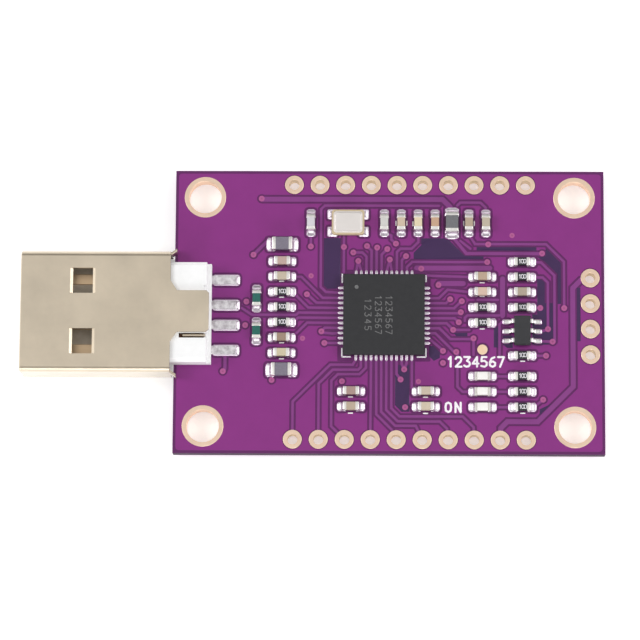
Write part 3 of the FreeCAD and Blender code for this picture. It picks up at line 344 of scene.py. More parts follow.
def add_grid(form, rows):
    """Four-sided faces between neighbouring rows of points."""
    size = len(rows[0])
    faces = []
    for r in range(len(rows) - 1):
        for a in range(r * size, (r + 1) * size - 1):
            faces.append([a, a + 1, a + size + 1, a + size])
    form.add([p for row in rows for p in row], faces)


def stroke(form, a, b, width, z0, z1, finish=0):
    """A printed line with round ends and a softened rim."""
    soft = min(0.02, width / 5)
    wide = band([a, b], width / 2, 4)
    slim = band([a, b], width / 2 - soft, 4)
    count = len(wide)
    points = [(x, y, z0) for x, y in wide] + [(x, y, z1) for x, y in slim]
    faces = [[i, (i + 1) % count, count + (i + 1) % count, count + i] for i in range(count)]
    faces.append([count + i for i in range(count)])
    form.add(points, faces, finish)


def turned(point, quarter, x, y):
    """Carries a part's own point to its place on the board, turned a quarter if asked."""
    px, py, z = point
    if quarter:
        px, py = -py, px
    return (x + px, y + py, z)


def edges_and_corners(faces):
    """Edges and corners of faces, each once and in a fixed order, so that every run is alike."""
    edges = list(dict.fromkeys(e for f in faces for e in f.edges))
    corners = list(dict.fromkeys(v for f in faces for v in f.verts))
    return edges, corners


def put_in_order(bm):
    """Sorts corners and faces by place, because a bevel leaves them in another order each run."""
    corners = sorted(bm.verts, key=lambda v: tuple(round(c, 8) for c in v.co))
    rank = {corner: i for i, corner in enumerate(corners)}
    faces = []
    for face in bm.faces:
        ring = [rank[v] for v in face.verts]
        start = ring.index(min(ring))
        faces.append(ring[start:] + ring[:start])
    mesh = bpy.data.meshes.new("ordered")
    mesh.from_pydata([v.co for v in corners], [], sorted(faces))
    bm.clear()
    bm.from_mesh(mesh)
    bpy.data.meshes.remove(mesh)


def cut_across(bm, axis, place, picked=None):
    """Cuts a mesh, or its picked faces, along the plane at place millimetres on an axis."""
    bm.normal_update()
    faces = [f for f in bm.faces if picked is None or picked(f)]
    edges, corners = edges_and_corners(faces)
    direction = Vector([1.0 if i == axis else 0.0 for i in range(3)])
    bmesh.ops.bisect_plane(bm, geom=faces + edges + corners, dist=1e-8,
                           plane_co=direction * place * MM, plane_no=direction)


def dressed(node, name, materials, bevel, sharp=30, smooth=35, choose=None, split=None,
            keep=None, after=None):
    """A piece on exactly a node's form, with every sharp edge rounded but those that keep picks.

    choose gives a face's finish, split is an x at which it may change, and after is a last
    change to the mesh.
    """
    bm = bmesh.new()
    bm.from_mesh(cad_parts[node].data)
    bmesh.ops.remove_doubles(bm, verts=bm.verts, dist=1e-7)
    bmesh.ops.dissolve_limit(bm, angle_limit=math.radians(1.5), verts=bm.verts, edges=bm.edges)
    edges = [e for e in bm.edges
             if len(e.link_faces) == 2 and e.calc_face_angle(0) > math.radians(sharp)
             and not (keep and all(keep(v.co / MM) for v in e.verts))]
    bmesh.ops.bevel(bm, geom=edges, offset=bevel * MM, offset_type="OFFSET", segments=2,
                    profile=0.5, affect="EDGES", clamp_overlap=True)
    put_in_order(bm)
    if split is not None:
        cut_across(bm, 0, split)
    if after:
        after(bm)
    for face in bm.faces:
        face.material_index = choose(face.calc_center_median() / MM) if choose else 0
    mesh = bpy.data.meshes.new(name)
    bm.to_mesh(mesh)
    bm.free()
    for material in materials:
        mesh.materials.append(material)
    finish_mesh(mesh, smooth)
    return placed(mesh, [node], even=True)


# Shared shader effects


def set_inputs(tree, node, values):
    """Sets a node's inputs, each to a value of its own or to what another node gives."""
    for name, value in values.items():
        if isinstance(value, bpy.types.NodeSocket):
            tree.links.new(value, node.inputs[name])
        else:
            node.inputs[name].default_value = value


def add_node(tree, kind, inputs=None, **fields):
    """A new shader node with its fields and inputs set."""
    node = tree.nodes.new("ShaderNode" + kind)
    for field, value in fields.items():
        setattr(node, field, value)
    set_inputs(tree, node, inputs or {})
    return node


def math_node(tree, operation, *values):
    """What a Math node gives for its values."""
    return add_node(tree, "Math", dict(enumerate(values)), operation=operation).outputs["Value"]


def mixed(tree, mask, amount, first, second):
    """The first colour with the second mixed in by mask times amount."""
    share = math_node(tree, "MULTIPLY", mask, amount)
    mix = add_node(tree, "Mix", {"Factor": share, "A": first, "B": second}, data_type="RGBA")
    return mix.outputs["Result"]


def effect_group(name, inputs, outputs):
    """A new node group with float or colour sockets: the group, its inputs and its end node."""
    group = bpy.data.node_groups.new(name, "ShaderNodeTree")
    for label, default in inputs.items():
        kind = "NodeSocketColor" if isinstance(default, tuple) else "NodeSocketFloat"
        socket = group.interface.new_socket(name=label, in_out="INPUT", socket_type=kind)
        socket.default_value = default
    for label in outputs:
        kind = "NodeSocketColor" if label == "Colour" else "NodeSocketFloat"
        group.interface.new_socket(name=label, in_out="OUTPUT", socket_type=kind)
    entry = group.nodes.new("NodeGroupInput").outputs
    return group, entry, group.nodes.new("NodeGroupOutput")


def mottle_group(name):
    """Soft cloudy change of a colour and its roughness over the surface."""
    group, entry, leave = effect_group(
        name,
        {"Colour": (0.5, 0.5, 0.5, 1), "Second colour": (0.4, 0.4, 0.4, 1), "Scale": 600.0,
         "Amount": 0.5, "Roughness": 0.4, "Roughness change": 0.08},
        ["Colour", "Roughness", "Height"])
    coords = add_node(group, "TexCoord")
    noise = add_node(group, "TexNoise", {
        "Vector": coords.outputs["Object"], "Scale": entry["Scale"], "Detail": 4, "Roughness": 0.6})
    cloud = add_node(group, "MapRange", {
        "Value": noise.outputs["Fac"], "From Min": 0.3, "From Max": 0.7}).outputs["Result"]
    set_inputs(group, leave, {
        "Colour": mixed(group, cloud, entry["Amount"], entry["Colour"], entry["Second colour"]),
        "Roughness": math_node(group, "MULTIPLY_ADD", cloud, entry["Roughness change"],
                               entry["Roughness"]),
        "Height": cloud})
    return group


def speckle_group(name):
    """Fine grains of a second colour, as in a moulding compound, ceramic or glass weave."""
    group, entry, leave = effect_group(
        name,
        {"Colour": (0.5, 0.5, 0.5, 1), "Grain colour": (0.8, 0.8, 0.8, 1), "Scale": 9000.0,
         "Coverage": 0.3},
        ["Colour", "Height"])
    coords = add_node(group, "TexCoord")
    cells = add_node(group, "TexVoronoi", {
        "Vector": coords.outputs["Object"], "Scale": entry["Scale"]})
    grain = add_node(group, "MapRange", {
        "Value": cells.outputs["Distance"], "From Max": 0.55, "To Min": 1.0,
        "To Max": 0.0}).outputs["Result"]
    set_inputs(group, leave, {
        "Colour": mixed(group, grain, entry["Coverage"], entry["Colour"], entry["Grain colour"]),
        "Height": grain})
    return group


def streak_group(name):
    """Long fine drawing lines of rolled or drawn sheet metal."""
    group, entry, leave = effect_group(
        name,
        {"Along": 60.0, "Across": 5000.0, "Roughness": 0.3, "Roughness change": 0.12},
        ["Roughness", "Height"])
    coords = add_node(group, "TexCoord")
    scales = add_node(group, "CombineXYZ", {
        "X": entry["Along"], "Y": entry["Across"], "Z": entry["Across"]})
    stretch = add_node(group, "VectorMath", {
        0: coords.outputs["Object"], 1: scales.outputs["Vector"]}, operation="MULTIPLY")
    lines = add_node(group, "TexNoise", {
        "Vector": stretch.outputs["Vector"], "Scale": 1.0, "Detail": 3}).outputs["Fac"]
    set_inputs(group, leave, {
        "Roughness": math_node(group, "MULTIPLY_ADD", lines, entry["Roughness change"],
                               entry["Roughness"]),
        "Height": lines})
    return group


EFFECTS = {"Mottle": mottle_group, "Speckle": speckle_group, "Rolling lines": streak_group}


def made_once(build):
    """Gives the material of a name if it is there, and builds it if not."""
    @functools.wraps(build)
    def shared(name, *values, **named):
        return bpy.data.materials.get(name) or build(name, *values, **named)
    return shared


def bare_material(name):
    """A material with only its shader and output, ready for effect nodes."""
    material = bpy.data.materials.new(name)
    material.use_nodes = True
    tree = material.node_tree
    return material, tree, tree.nodes["Principled BSDF"]


def use_effect(tree, name, **values):
    """Places an effect's group, built on its first use, with this material's own values."""
    node = tree.nodes.new("ShaderNodeGroup")
    node.node_tree = bpy.data.node_groups.get(name) or EFFECTS[name](name)
    for label, value in values.items():
        if hasattr(value, "__len__"):
            value = tuple(value)[:3] + (1.0,)
        node.inputs[label.replace("_", " ")].default_value = value
    return node


def bumped(tree, shader, height, strength, distance):
    """Raises the surface in the shading by a height that an effect gives."""
    bump = add_node(tree, "Bump", {"Height": height, "Strength": strength, "Distance": distance})
    set_inputs(tree, shader, {"Normal": bump.outputs["Normal"]})


@made_once
def mottled_material(name, colour, second, amount=0.5, scale=600.0, roughness=0.4, change=0.08,
                     metallic=0.0, bump=0.1, distance=0.00001, specular=0.5):
    """Cloudy finish: solder mask, plating, solder, ink, glaze."""
    material, tree, shader = bare_material(name)
    mottle = use_effect(tree, "Mottle", Colour=colour, Second_colour=second, Scale=scale,
                        Amount=amount, Roughness=roughness, Roughness_change=change)
    set_inputs(tree, shader, {
        "Base Color": mottle.outputs["Colour"], "Roughness": mottle.outputs["Roughness"],
        "Metallic": metallic, "Specular IOR Level": specular})
    bumped(tree, shader, mottle.outputs["Height"], bump, distance)
    return material


def mask_material(name, colour, shade=0.88, gloss=0.30, depth=0.00001):
    """Glossy solder mask with the faint weave of the cloth under it; shade is its darkest share."""
    return mottled_material(name, colour, scaled(colour, shade), 0.55, 420.0, gloss, 0.1,
                            bump=0.12, distance=depth, specular=0.42)


@made_once
def grained_material(name, colour, grain, coverage=0.3, scale=9000.0, roughness=0.6, bump=0.2,
                     distance=0.000004):
    """Grainy finish: moulding compound, ceramic, ferrite, laminate edge."""
    material, tree, shader = bare_material(name)
    speckle = use_effect(tree, "Speckle", Colour=colour, Grain_colour=grain, Scale=scale,
                         Coverage=coverage)
    mottle = use_effect(tree, "Mottle", Second_colour=scaled(colour, 0.8), Scale=1500.0,
                        Amount=0.25, Roughness=roughness, Roughness_change=0.12)
    set_inputs(tree, mottle, {"Colour": speckle.outputs["Colour"]})
    set_inputs(tree, shader, {
        "Base Color": mottle.outputs["Colour"], "Roughness": mottle.outputs["Roughness"]})
    bumped(tree, shader, speckle.outputs["Height"], bump, distance)
    return material


@made_once
def sheet_metal(name, colour, roughness=0.3, tint=0.12, coat=0.0):
    """Plated sheet with rolling lines and cloudy tarnish, and a clear lacquer if coat is given."""
    material, tree, shader = bare_material(name)
    mottle = use_effect(tree, "Mottle", Colour=colour, Second_colour=scaled(colour, 1 - tint),
                        Scale=220.0, Amount=1.0)
    lines = use_effect(tree, "Rolling lines", Roughness=roughness, Roughness_change=0.14)
    set_inputs(tree, shader, {
        "Base Color": mottle.outputs["Colour"], "Roughness": lines.outputs["Roughness"],
        "Metallic": 1.0, "Coat Weight": coat, "Coat Roughness": 0.2, "Coat IOR": 1.6})
    bumped(tree, shader, lines.outputs["Height"], 0.12, 0.000003)
    return material


def plated_material(name, colour, second, amount=0.7, scale=3000.0, roughness=0.34, change=0.12,
                    bump=0.15, distance=0.00001):
    """Metal that was dipped or plated."""
    return mottled_material(name, colour, second, amount, scale, roughness, change, 1.0, bump,
                            distance)


def solder_material():
    # The solder colour carries a lilac tint: a painted reflection of the purple mask around it.
    colour = tuple(bpy.context.scene.adapter_chips.solder)
    return plated_material("Reflowed solder", colour, scaled(colour, 0.78), 0.6, 2600.0, 0.30, 0.14,
                           0.25, 0.00002)


def gold_material(name, colour):
    return plated_material(name, colour, scaled(colour, 0.86), 0.8, 900.0, 0.36)


def tin_material():
    return plated_material("Tinned ends", srgb(255, 252, 248), srgb(220, 216, 212), 0.6, 2400.0,
                           0.30, 0.14, 0.2)


def terminal_material():
    return plated_material("Plated terminals", srgb(255, 253, 252), srgb(228, 224, 220))


def ink_material():
    return mottled_material("White ink", srgb(255, 253, 255), srgb(238, 230, 240), 0.6, 3500.0,
                            0.55, bump=0.2)


# Layout of the board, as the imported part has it

TRACK, WIDE, SUPPLY = 0.25, 0.32, 0.50
MOUNTS = [(sx * 18.225, sy * 11.425) for sx in (-1, 1) for sy in (-1, 1)]
ROW_X = [-9.42 + 2.54 * i for i in range(10)]
HEADERS = ([(x, sy * 12.70) for sy in (1, -1) for x in ROW_X]
           + [(19.77, 3.40 - 2.54 * i) for i in range(4)])
MOUNT_RING, MOUNT_BORE = 2.04, 1.60
HEADER_RING, HEADER_BORE = 0.92, 0.50
MOUNT_SIDES, HEADER_SIDES = 56, 32
OVERLAP = 0.03  # how far a plated ring reaches over the board
TEST_PAD = (9.17, -3.757, 0.50)
MAIN_X, MAIN_Y, MAIN_HALF = -0.50, -0.40, 4.00
TERMINAL_REACH = MAIN_HALF + 0.57
TERMINALS = [0.5 * (i - 5.5) for i in range(12)]  # along one side of the main chip
MEMORY_X, MEMORY_Y = 13.07, -1.952
CRYSTAL_X, CRYSTAL_Y = -4.08, 8.86
PLUG_Y, WINDOW_X = -0.42, -30.0
WINDOW_HALF_X, WINDOW_HALF_Y, WINDOW_OFFSETS = 0.975, 1.24, (-3.0, 3.0)
TAIL_X, BLADE_X, TONGUE_X = -16.05, -23.0, -24.0
SHELL_TOP = node_box("plug_shell")[1].z * MM
PLUG_TAILS = [PLUG_Y + offset for offset in (3.50, 1.00, -1.00, -3.50)]


def pin(side, i):
    """Where a track meets terminal i on one side of the main chip."""
    along = TERMINALS[i]
    return {"near": (MAIN_X + along, MAIN_Y - 4.40), "far": (MAIN_X + along, MAIN_Y + 4.40),
            "plug": (MAIN_X - 4.40, MAIN_Y + along),
            "header": (MAIN_X + 4.40, MAIN_Y + along)}[side]


def hole(i):
    """Middle of a header hole of the near row."""
    return (ROW_X[i], -12.70)


def part_place(node):
    """Centre, length, width, height and quarter turn of a chip part, from its packed box."""
    low, high = node_box(node)
    size = high - low
    quarter = size.y > size.x
    length, width = (size.y, size.x) if quarter else (size.x, size.y)
    return ((low.x + high.x) / 2, (low.y + high.y) / 2, length, width, size.z, quarter)


def end(node, sign):
    """Where a track meets one end of a chip part."""
    x, y, length, _, _, quarter = part_place(node)
    reach = sign * (length / 2 + 0.29)
    return (x, y + reach) if quarter else (x + reach, y)


def foot(side, i):
    """Middle of a foot of the six-lead chip."""
    return (MEMORY_X + side * 1.70, MEMORY_Y + i * 0.95)


FOOT_PADS = [(foot(side, i)[0] - side * 0.115, foot(side, i)[1])
             for side in (-1, 1) for i in (-1, 0, 1)]
CRYSTAL_PADS = [(CRYSTAL_X + sx * 1.55, CRYSTAL_Y + sy * 0.87) for sx in (-1, 1) for sy in (-1, 1)]


TRACKS = [
    (TRACK, [pin("near", 0), (-3.55, -5.3), (-5.75, -5.3), (ROW_X[0], -8.97), hole(0)]),
    (TRACK, [pin("near", 1), (-2.75, -5.55), (-3.0, -5.8), (-5.5, -5.8),
             (ROW_X[1], -7.18), hole(1)]),
    (TRACK, [pin("near", 2), (-2.25, -5.6), (-2.9, -6.25), (-5.0, -6.25), (-5.63, -6.88),
             (-5.63, -11.4), hole(2)]),
    (TRACK, [pin("near", 3), hole(3)]),
    (TRACK, [pin("near", 4), (-1.22, -10.2), (0.3, -11.72), hole(4)]),
    (TRACK, [pin("near", 5), (-0.75, -9.95), (0.63, -11.33), (2.65, -11.33), hole(5)]),
    (TRACK, [pin("near", 6), (-0.25, -9.77), (0.88, -10.9), (5.0, -10.9), (5.7, -11.6), hole(6)]),
    (TRACK, [pin("near", 7), (0.25, -9.6), (1.05, -10.4), (7.25, -10.4), (8.3, -11.45), hole(7)]),
    (TRACK, [pin("near", 11), (2.25, -7.6)]),
    (TRACK, [(0.75, -4.7), (0.75, -6.2), (1.15, -6.75)]),
    (TRACK, [(1.25, -4.7), (1.25, -5.2), (1.5, -5.75)]),
    (TRACK, [(1.75, -4.7), (1.75, -5.1), (1.6, -5.5)]),
    (TRACK, [pin("plug", 10), (-6.25, 1.95), (-6.75, 2.45), (-6.75, 10.25), (-6.38, 10.62),
             (4.9, 10.62)]),
    (TRACK, [pin("plug", 9), (-6.55, 1.35), (-8.65, 3.45), end("capacitor_left_2", 1)]),
    (TRACK, [pin("plug", 8), (-7.15, 0.87), (-8.05, 1.7)]),
    (TRACK, [pin("plug", 7), (-7.95, 0.37), (-9.2, 1.62)]),
    (TRACK, [pin("plug", 6), (-8.9, -0.13), (-9.15, -0.36), (-13.5, -0.36), (-14.5, 0.3)]),
    (TRACK, [pin("plug", 5), (-8.95, -0.63), end("resistor_left_3", 1)]),
    (TRACK, [pin("plug", 4), (-8.05, -1.13), (-9.1, -2.18)]),
    (TRACK, [pin("plug", 3), (-6.3, -1.63), (-6.65, -2.0)]),
    (TRACK, [pin("plug", 2), (-5.6, -2.2), (-6.65, -2.1)]),
    (TRACK, [pin("plug", 0), (-6.35, -3.15)]),
    (TRACK, [(-4.48, 7.5), (-4.48, 3.9)]),
    (TRACK, [end("capacitor_row_1", -1), (-7.75, 6.5)]),
    (WIDE, [(-13.4, 5.65), (-12.15, 6.9), (-11.9, 6.9)]),
    (WIDE, [(-16.1, -4.4), (-16.1, -5.8)]),
    (TRACK, [(-11.5, -6.2), (-11.5, -6.85)]),
    (SUPPLY, [(-12.65, 11.25), (5.25, 11.25), (6.0, 10.5)]),
    (TRACK, [(6.7, 10.65), (7.0, 10.95), (9.0, 10.95), (9.5, 10.45), end("capacitor_row_7", 1)]),
    (TRACK, [pin("far", 0), (-3.05, 5.05)]),
    (TRACK, [pin("far", 1), (-3.05, 5.05)]),
    (TRACK, [pin("far", 2), (-2.25, 5.5), (-2.65, 5.9), (-3.5, 5.9)]),
    (TRACK, [pin("far", 3), (-1.75, 6.1), (-2.2, 6.55)]),
    (TRACK, [pin("far", 4), (-1.25, 6.4)]),
    (TRACK, [pin("far", 5), (-0.75, 5.7), (-0.2, 6.25)]),
    (TRACK, [pin("far", 6), (0.05, 5.2)]),
    (TRACK, [pin("far", 7), (0.05, 5.2)]),
    (TRACK, [(0.65, 6.8), (0.2, 7.2), (0.2, 7.6), (-0.5, 8.0)]),
    (TRACK, [pin("far", 8), (0.75, 5.95), (1.1, 6.3), (2.2, 6.3), (2.87, 6.97),
             end("capacitor_row_4", -1)]),
    (TRACK, [pin("far", 9), (1.25, 5.15), (1.65, 5.55)]),
    (TRACK, [pin("far", 10), (1.75, 4.45), (2.27, 4.97), (9.65, 4.97)]),
    (SUPPLY, [(2.7, 4.36), (9.9, 4.36)]),
    (WIDE, [end("ferrite_row", -1), (7.6, 5.83), (15.05, 5.83)]),
    (TRACK, [end("capacitor_row_6", -1), (8.45, 6.78), (15.45, 6.78), (17.2, 5.03), (17.2, 0.4)]),
    (TRACK, [(7.0, 7.1), (8.0, 6.3)]),
    (TRACK, [(3.75, 3.6), end("capacitor_inner_1", -1)]),
    (SUPPLY, [(4.9, 2.82), (7.3, 2.82)]),
    (TRACK, [pin("header", 9), (4.9, 1.35), (5.75, 2.2), end("capacitor_inner_2", -1)]),
    (TRACK, [pin("header", 8), (5.6, 0.85), (6.0, 1.25)]),
    (TRACK, [pin("header", 7), (6.4, 0.35), (7.1, 1.05)]),
    (TRACK, [pin("header", 6), (7.0, -0.15)]),
    (TRACK, [pin("header", 5), (6.45, -0.65), (6.85, -1.05)]),
    (TRACK, [pin("header", 4), (5.65, -1.15), (6.3, -1.8), (7.9, -1.8)]),
    (TRACK, [pin("header", 3), (4.95, -1.65), (6.02, -2.72), (8.3, -2.72), (8.3, -4.3)]),
    (TRACK, [pin("header", 2), (4.55, -2.15), (6.4, -4.0)]),
    (TRACK, [pin("header", 1), (5.3, -3.85)]),
    (TRACK, [(7.45, -0.9), (7.45, -0.6), (7.7, -0.36), (10.8, -0.36)]),
    (TRACK, [(8.7, 1.2), (10.7, 1.2)]),
    (TRACK, [(6.72, -4.1), (6.72, -7.45), (7.22, -7.95), end("led_2", -1)]),
    (TRACK, [foot(-1, 1), (11.05, -1.05), (10.85, -1.25), (10.85, -4.3)]),
    (SUPPLY, [(11.15, 3.3), (11.15, -0.4)]),
    (TRACK, [end("resistor_outer_1", 1), (14.95, 4.95), (16.25, 3.65),
             (16.25, -2.95), foot(1, -1)]),
    (TRACK, [end("resistor_outer_2", 1), (15.1, 3.45), (15.6, 2.95), (15.6, -1.75), foot(1, 0)]),
    (TRACK, [end("resistor_outer_3", 1), (14.85, 0.42)]),
    (TRACK, [end("resistor_outer_4", 1), (15.35, -4.35)]),
    (TRACK, [end("resistor_led_3", 1), (15.05, -8.75)]),
    (TRACK, [end("led_1", 1), end("resistor_led_1", -1)]),
    (TRACK, [end("led_2", 1), end("resistor_led_2", -1)]),
    (TRACK, [end("led_3", 1), end("resistor_led_3", -1)]),
    (SUPPLY, [(19.77, 3.40), (18.85, 3.2), (18.05, 2.4), (18.05, -7.4), (14.57, -10.88),
              (11.6, -10.88),
              (10.95, -11.53), hole(8)]),
]

BARE_AREAS = [
    [(0.60, -5.3), (2.02, -5.3), (2.02, -9.95), (1.25, -9.95), (0.60, -9.3)],
    [(-6.45, 7.35), (-4.80, 7.35), (-4.80, 2.60), (-5.20, 2.25), (-6.10, 2.25), (-6.45, 2.60)],
    [(2.40, 5.25), (2.40, 5.90), (3.15, 6.65), (3.15, 7.35), (5.75, 7.35), (7.42, 5.60),
     (9.3, 5.55), (9.3, 5.25)],
    [(8.60, 6.48), (8.60, 6.13), (14.5, 6.13), (14.5, 6.48)],
    [(15.40, 6.40), (16.90, 4.90), (16.90, 0.80), (16.55, 0.80), (16.55, 3.80), (15.3, 5.05),
     (14.6, 5.45),
     (15.4, 5.6)],
    [(14.55, 3.25), (15.0, 3.25), (15.30, 2.95), (15.30, 0.90), (14.55, 0.90)],
    [(14.55, 0.90), (16.10, 0.90), (16.10, -2.75), (15.60, -3.25), (14.05, -3.25), (14.05, -0.25),
     (14.55, -0.25)],
    [(10.28, -1.40), (10.70, -1.40), (10.70, -3.55), (10.28, -3.55)],
    [(11.18, -2.35), (12.15, -2.35), (12.15, -3.60), (11.60, -3.60), (11.18, -3.25)],
    [(3.95, -3.40), (4.35, -3.40), (5.00, -4.05), (5.00, -4.60), (4.40, -4.90), (3.95, -4.45)],
    [(18.45, 2.45), (18.80, 2.45), (18.80, -2.90), (18.45, -2.90)],
    [(14.75, -9.65), (15.90, -9.10), (14.75, -10.25)],
    [(6.35, -2.10), (7.70, -2.10), (7.70, -2.45), (6.60, -2.45)],
]

RINGED_VIAS = [
    (-12.65, 11.3), (-7.75, 6.5), (-4.48, 6.45), (-3.55, 5.9), (-3.05, 5.05), (-2.2, 6.55),
    (-1.2, 6.4), (-0.2, 6.25),
    (0.05, 5.2), (0.65, 6.8), (1.65, 5.55), (3.15, 4.3), (9.65, 4.97), (9.75, 6.75), (15.05, 5.85),
    (17.2, 0.4),
    (4.85, 2.67), (6.0, 1.25), (7.15, 1.05), (7.05, -0.05), (6.85, -1.05), (6.3, -1.8),
    (8.3, -2.65), (6.6, -4.0),
    (5.3, -3.9), (5.3, -5.1), (14.85, 0.4), (15.6, -1.7), (16.05, -2.95), (15.4, -4.35),
    (15.1, -8.7), (1.5, -5.75),
    (1.15, -6.75), (1.6, -9.5), (-4.6, -6.95), (-6.65, -2.0), (-6.35, -3.15), (-8.1, 1.7),
    (-13.4, 5.65),
    (-14.05, 0.95), (-14.15, -1.4), (-16.3, -6.0), (-11.5, -6.85)]
POUR_VIAS = [(12.1, 7.65), (2.9, -6.95), (-8.5, -2.7), (-7.7, 3.55)]
VIA_R, VIA_GAP, VIA_SIDES, DIMPLE_R = 0.29, 0.17, 18, 0.10
LIP = 0.025  # width of the sloped edge of the copper

CHIP_NODES = sorted(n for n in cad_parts
                    if n.startswith(("capacitor", "resistor", "ferrite", "protector", "led")))


def runs(points):
    """Splits a centre line at turns too sharp for a mitre."""
    result = [[points[0], points[1]]]
    for after in points[2:]:
        before, corner = result[-1][-2:]
        turn = (math.atan2(after[1] - corner[1], after[0] - corner[0])
                - math.atan2(corner[1] - before[1], corner[0] - before[0]))
        if abs(math.degrees(math.atan2(math.sin(turn), math.cos(turn)))) > 70:
            result.append([corner])
        result[-1].append(after)
    return result


def pad_outlines():
    """Rounded outlines of every soldered pad: (x, y, half x, half y, corner)."""
    pads = []
    for node in CHIP_NODES:
        x, y, length, width, _, quarter = part_place(node)
        inside, reach = length / 2 - 0.34, length / 2 + 0.60
        half, across = (reach - inside) / 2, width / 2 + 0.08
        for sign in (-1, 1):
            middle = sign * (inside + reach) / 2
            if quarter:
                pads.append((x, y + middle, across, half, 0.2))
            else:
                pads.append((x + middle, y, half, across, 0.2))
    inside = MAIN_HALF - 0.4
    middle, half = (TERMINAL_REACH + inside) / 2, (TERMINAL_REACH - MAIN_HALF + 0.4) / 2
    for side in range(4):
        for along in TERMINALS:
            x, y = (middle, along) if side % 2 == 0 else (along, middle)
            if side > 1:
                x, y = -x, -y
            hx, hy = (half, 0.145) if side % 2 == 0 else (0.145, half)
            pads.append((MAIN_X + x, MAIN_Y + y, hx, hy, 0.14))
    pads += [(x, y, 0.36, 0.27, 0.12) for x, y in FOOT_PADS]
    pads += [(x, y, 0.52, 0.52, 0.14) for x, y in CRYSTAL_PADS]
    pads += [(TAIL_X, y, 1.37, 0.57, 0.25) for y in PLUG_TAILS]
    return pads


def rounded_at(x, y, half_x, half_y, corner, grow=0.0):
    """A rounded rectangle about a place on the board, grown all round."""
    steps = 2 if min(half_x, half_y) < 0.2 else 3
    ring = rounded_rectangle(half_x + grow, half_y + grow, corner + grow, steps)
    return [(x + px, y + py) for px, py in ring]


def board_shapes(clearance):
    """Rings for the triangulation, each with its kind, which is one of those in SURFACES."""
    rings = []

    def nested(core, gap, outline):
        """A raised shape with the sloped edge of its copper and the cleared gap round it."""
        for extra, kind in ((0, core), (LIP, "slope"), (gap - LIP, "groove"), (gap, "rim")):
            rings.append((kind, outline(extra)))

    for width, points in TRACKS:
        for run in runs(points):
            nested("track", clearance, lambda extra: band(run, width / 2 + extra))
    for pad in pad_outlines():
        gap = clearance if pad[2] > 0.2 and pad[3] > 0.2 else 0.12
        nested("core", gap, lambda extra: rounded_at(*pad, grow=extra))
    for node in CHIP_NODES:
        x, y, length, width, _, quarter = part_place(node)
        half_x, half_y = (width / 2, length / 2) if quarter else (length / 2, width / 2)
        half_x, half_y = half_x + clearance, half_y + clearance
        rings.append(("groove", rounded_at(x, y, half_x, half_y, 0.05)))
        rings.append(("rim", rounded_at(x, y, half_x + LIP, half_y + LIP, 0.05)))
    for x, y in RINGED_VIAS:
        nested("via", VIA_GAP, lambda extra: circle(x, y, VIA_R + extra, VIA_SIDES))
    for x, y in POUR_VIAS:
        rings.append(("via", circle(x, y, VIA_R - 0.03, VIA_SIDES)))
    for x, y in RINGED_VIAS + POUR_VIAS:
        rings.append(("dimple", circle(x, y, DIMPLE_R, 10)))
    rings += [("bare", area) for area in BARE_AREAS]
    for x, y in HEADERS:
        rings.append(("hole", circle(x, y, HEADER_RING - OVERLAP, HEADER_SIDES)))
        rings.append(("groove", circle(x, y, HEADER_RING + 0.06, HEADER_SIDES)))
        rings.append(("rim", circle(x, y, HEADER_RING + 0.085, HEADER_SIDES)))
    for x, y in MOUNTS:
        rings.append(("hole", circle(x, y, MOUNT_RING - OVERLAP, MOUNT_SIDES)))
        rings.append(("core", circle(x, y, MOUNT_RING + 0.02, MOUNT_SIDES)))
    x, y, radius = TEST_PAD
    rings.append(("groove", circle(x, y, radius + 0.17, 28)))
    rings.append(("rim", circle(x, y, radius + 0.195, 28)))
    rings.append(("groove", rounded_at(MAIN_X, MAIN_Y, TERMINAL_REACH, TERMINAL_REACH, 0.1)))
    return rings


def inside_board(ring):
    """Keeps a ring a little inside the board's edges."""
    x, y = BOARD_HIGH.x - 0.12, BOARD_HIGH.y - 0.12
    return [(max(-x, min(x, px)), max(-y, min(y, py))) for px, py in ring]


def plane_cells(rings):
    """Cells of the board's outline cut by rings: the points, the cells and the kinds round each."""
    hx, hy = BOARD_HIGH.x, BOARD_HIGH.y
    points = [(-hx, -hy), (hx, -hy), (hx, hy), (-hx, hy)]
    faces = [[0, 1, 2, 3]]
    kinds = ["board"]
    for kind, ring in rings:
        if kind != "hole":
            ring = inside_board(ring)
        if sum(a[0] * b[1] - b[0] * a[1] for a, b in zip(ring, ring[1:] + ring[:1])) < 0:
            ring = ring[::-1]
        faces.append(list(range(len(points), len(points) + len(ring))))
        points += ring
        kinds.append(kind)
    flat, _, cells, _, _, origin = delaunay_2d_cdt(
        [Vector(p) for p in points], [], faces, 1, 1e-5, True)
    return flat, cells, [{kinds[s] for s in sources} for sources in origin]


# The surface that a cell gets from the first of these kinds that it lies in
SURFACES = (("hole", None), ("dimple", "dimple"), ("via", "via"), ("core", "copper"),
            ("track", "track"), ("slope", "slope"), ("bare", "bare"), ("groove", "groove"),
            ("rim", "slope"), ("pour", "copper"), ("pour edge", "slope"), ("board", "groove"))
RAISED = ("copper", "track", "via")
FINISHES = {"copper": 0, "slope": 6, "groove": 6, "bare": 1, "via": 3, "dimple": 4, "track": 5}
EDGE_FINISH = 2


# Operators, each with the helpers that only it needs before it


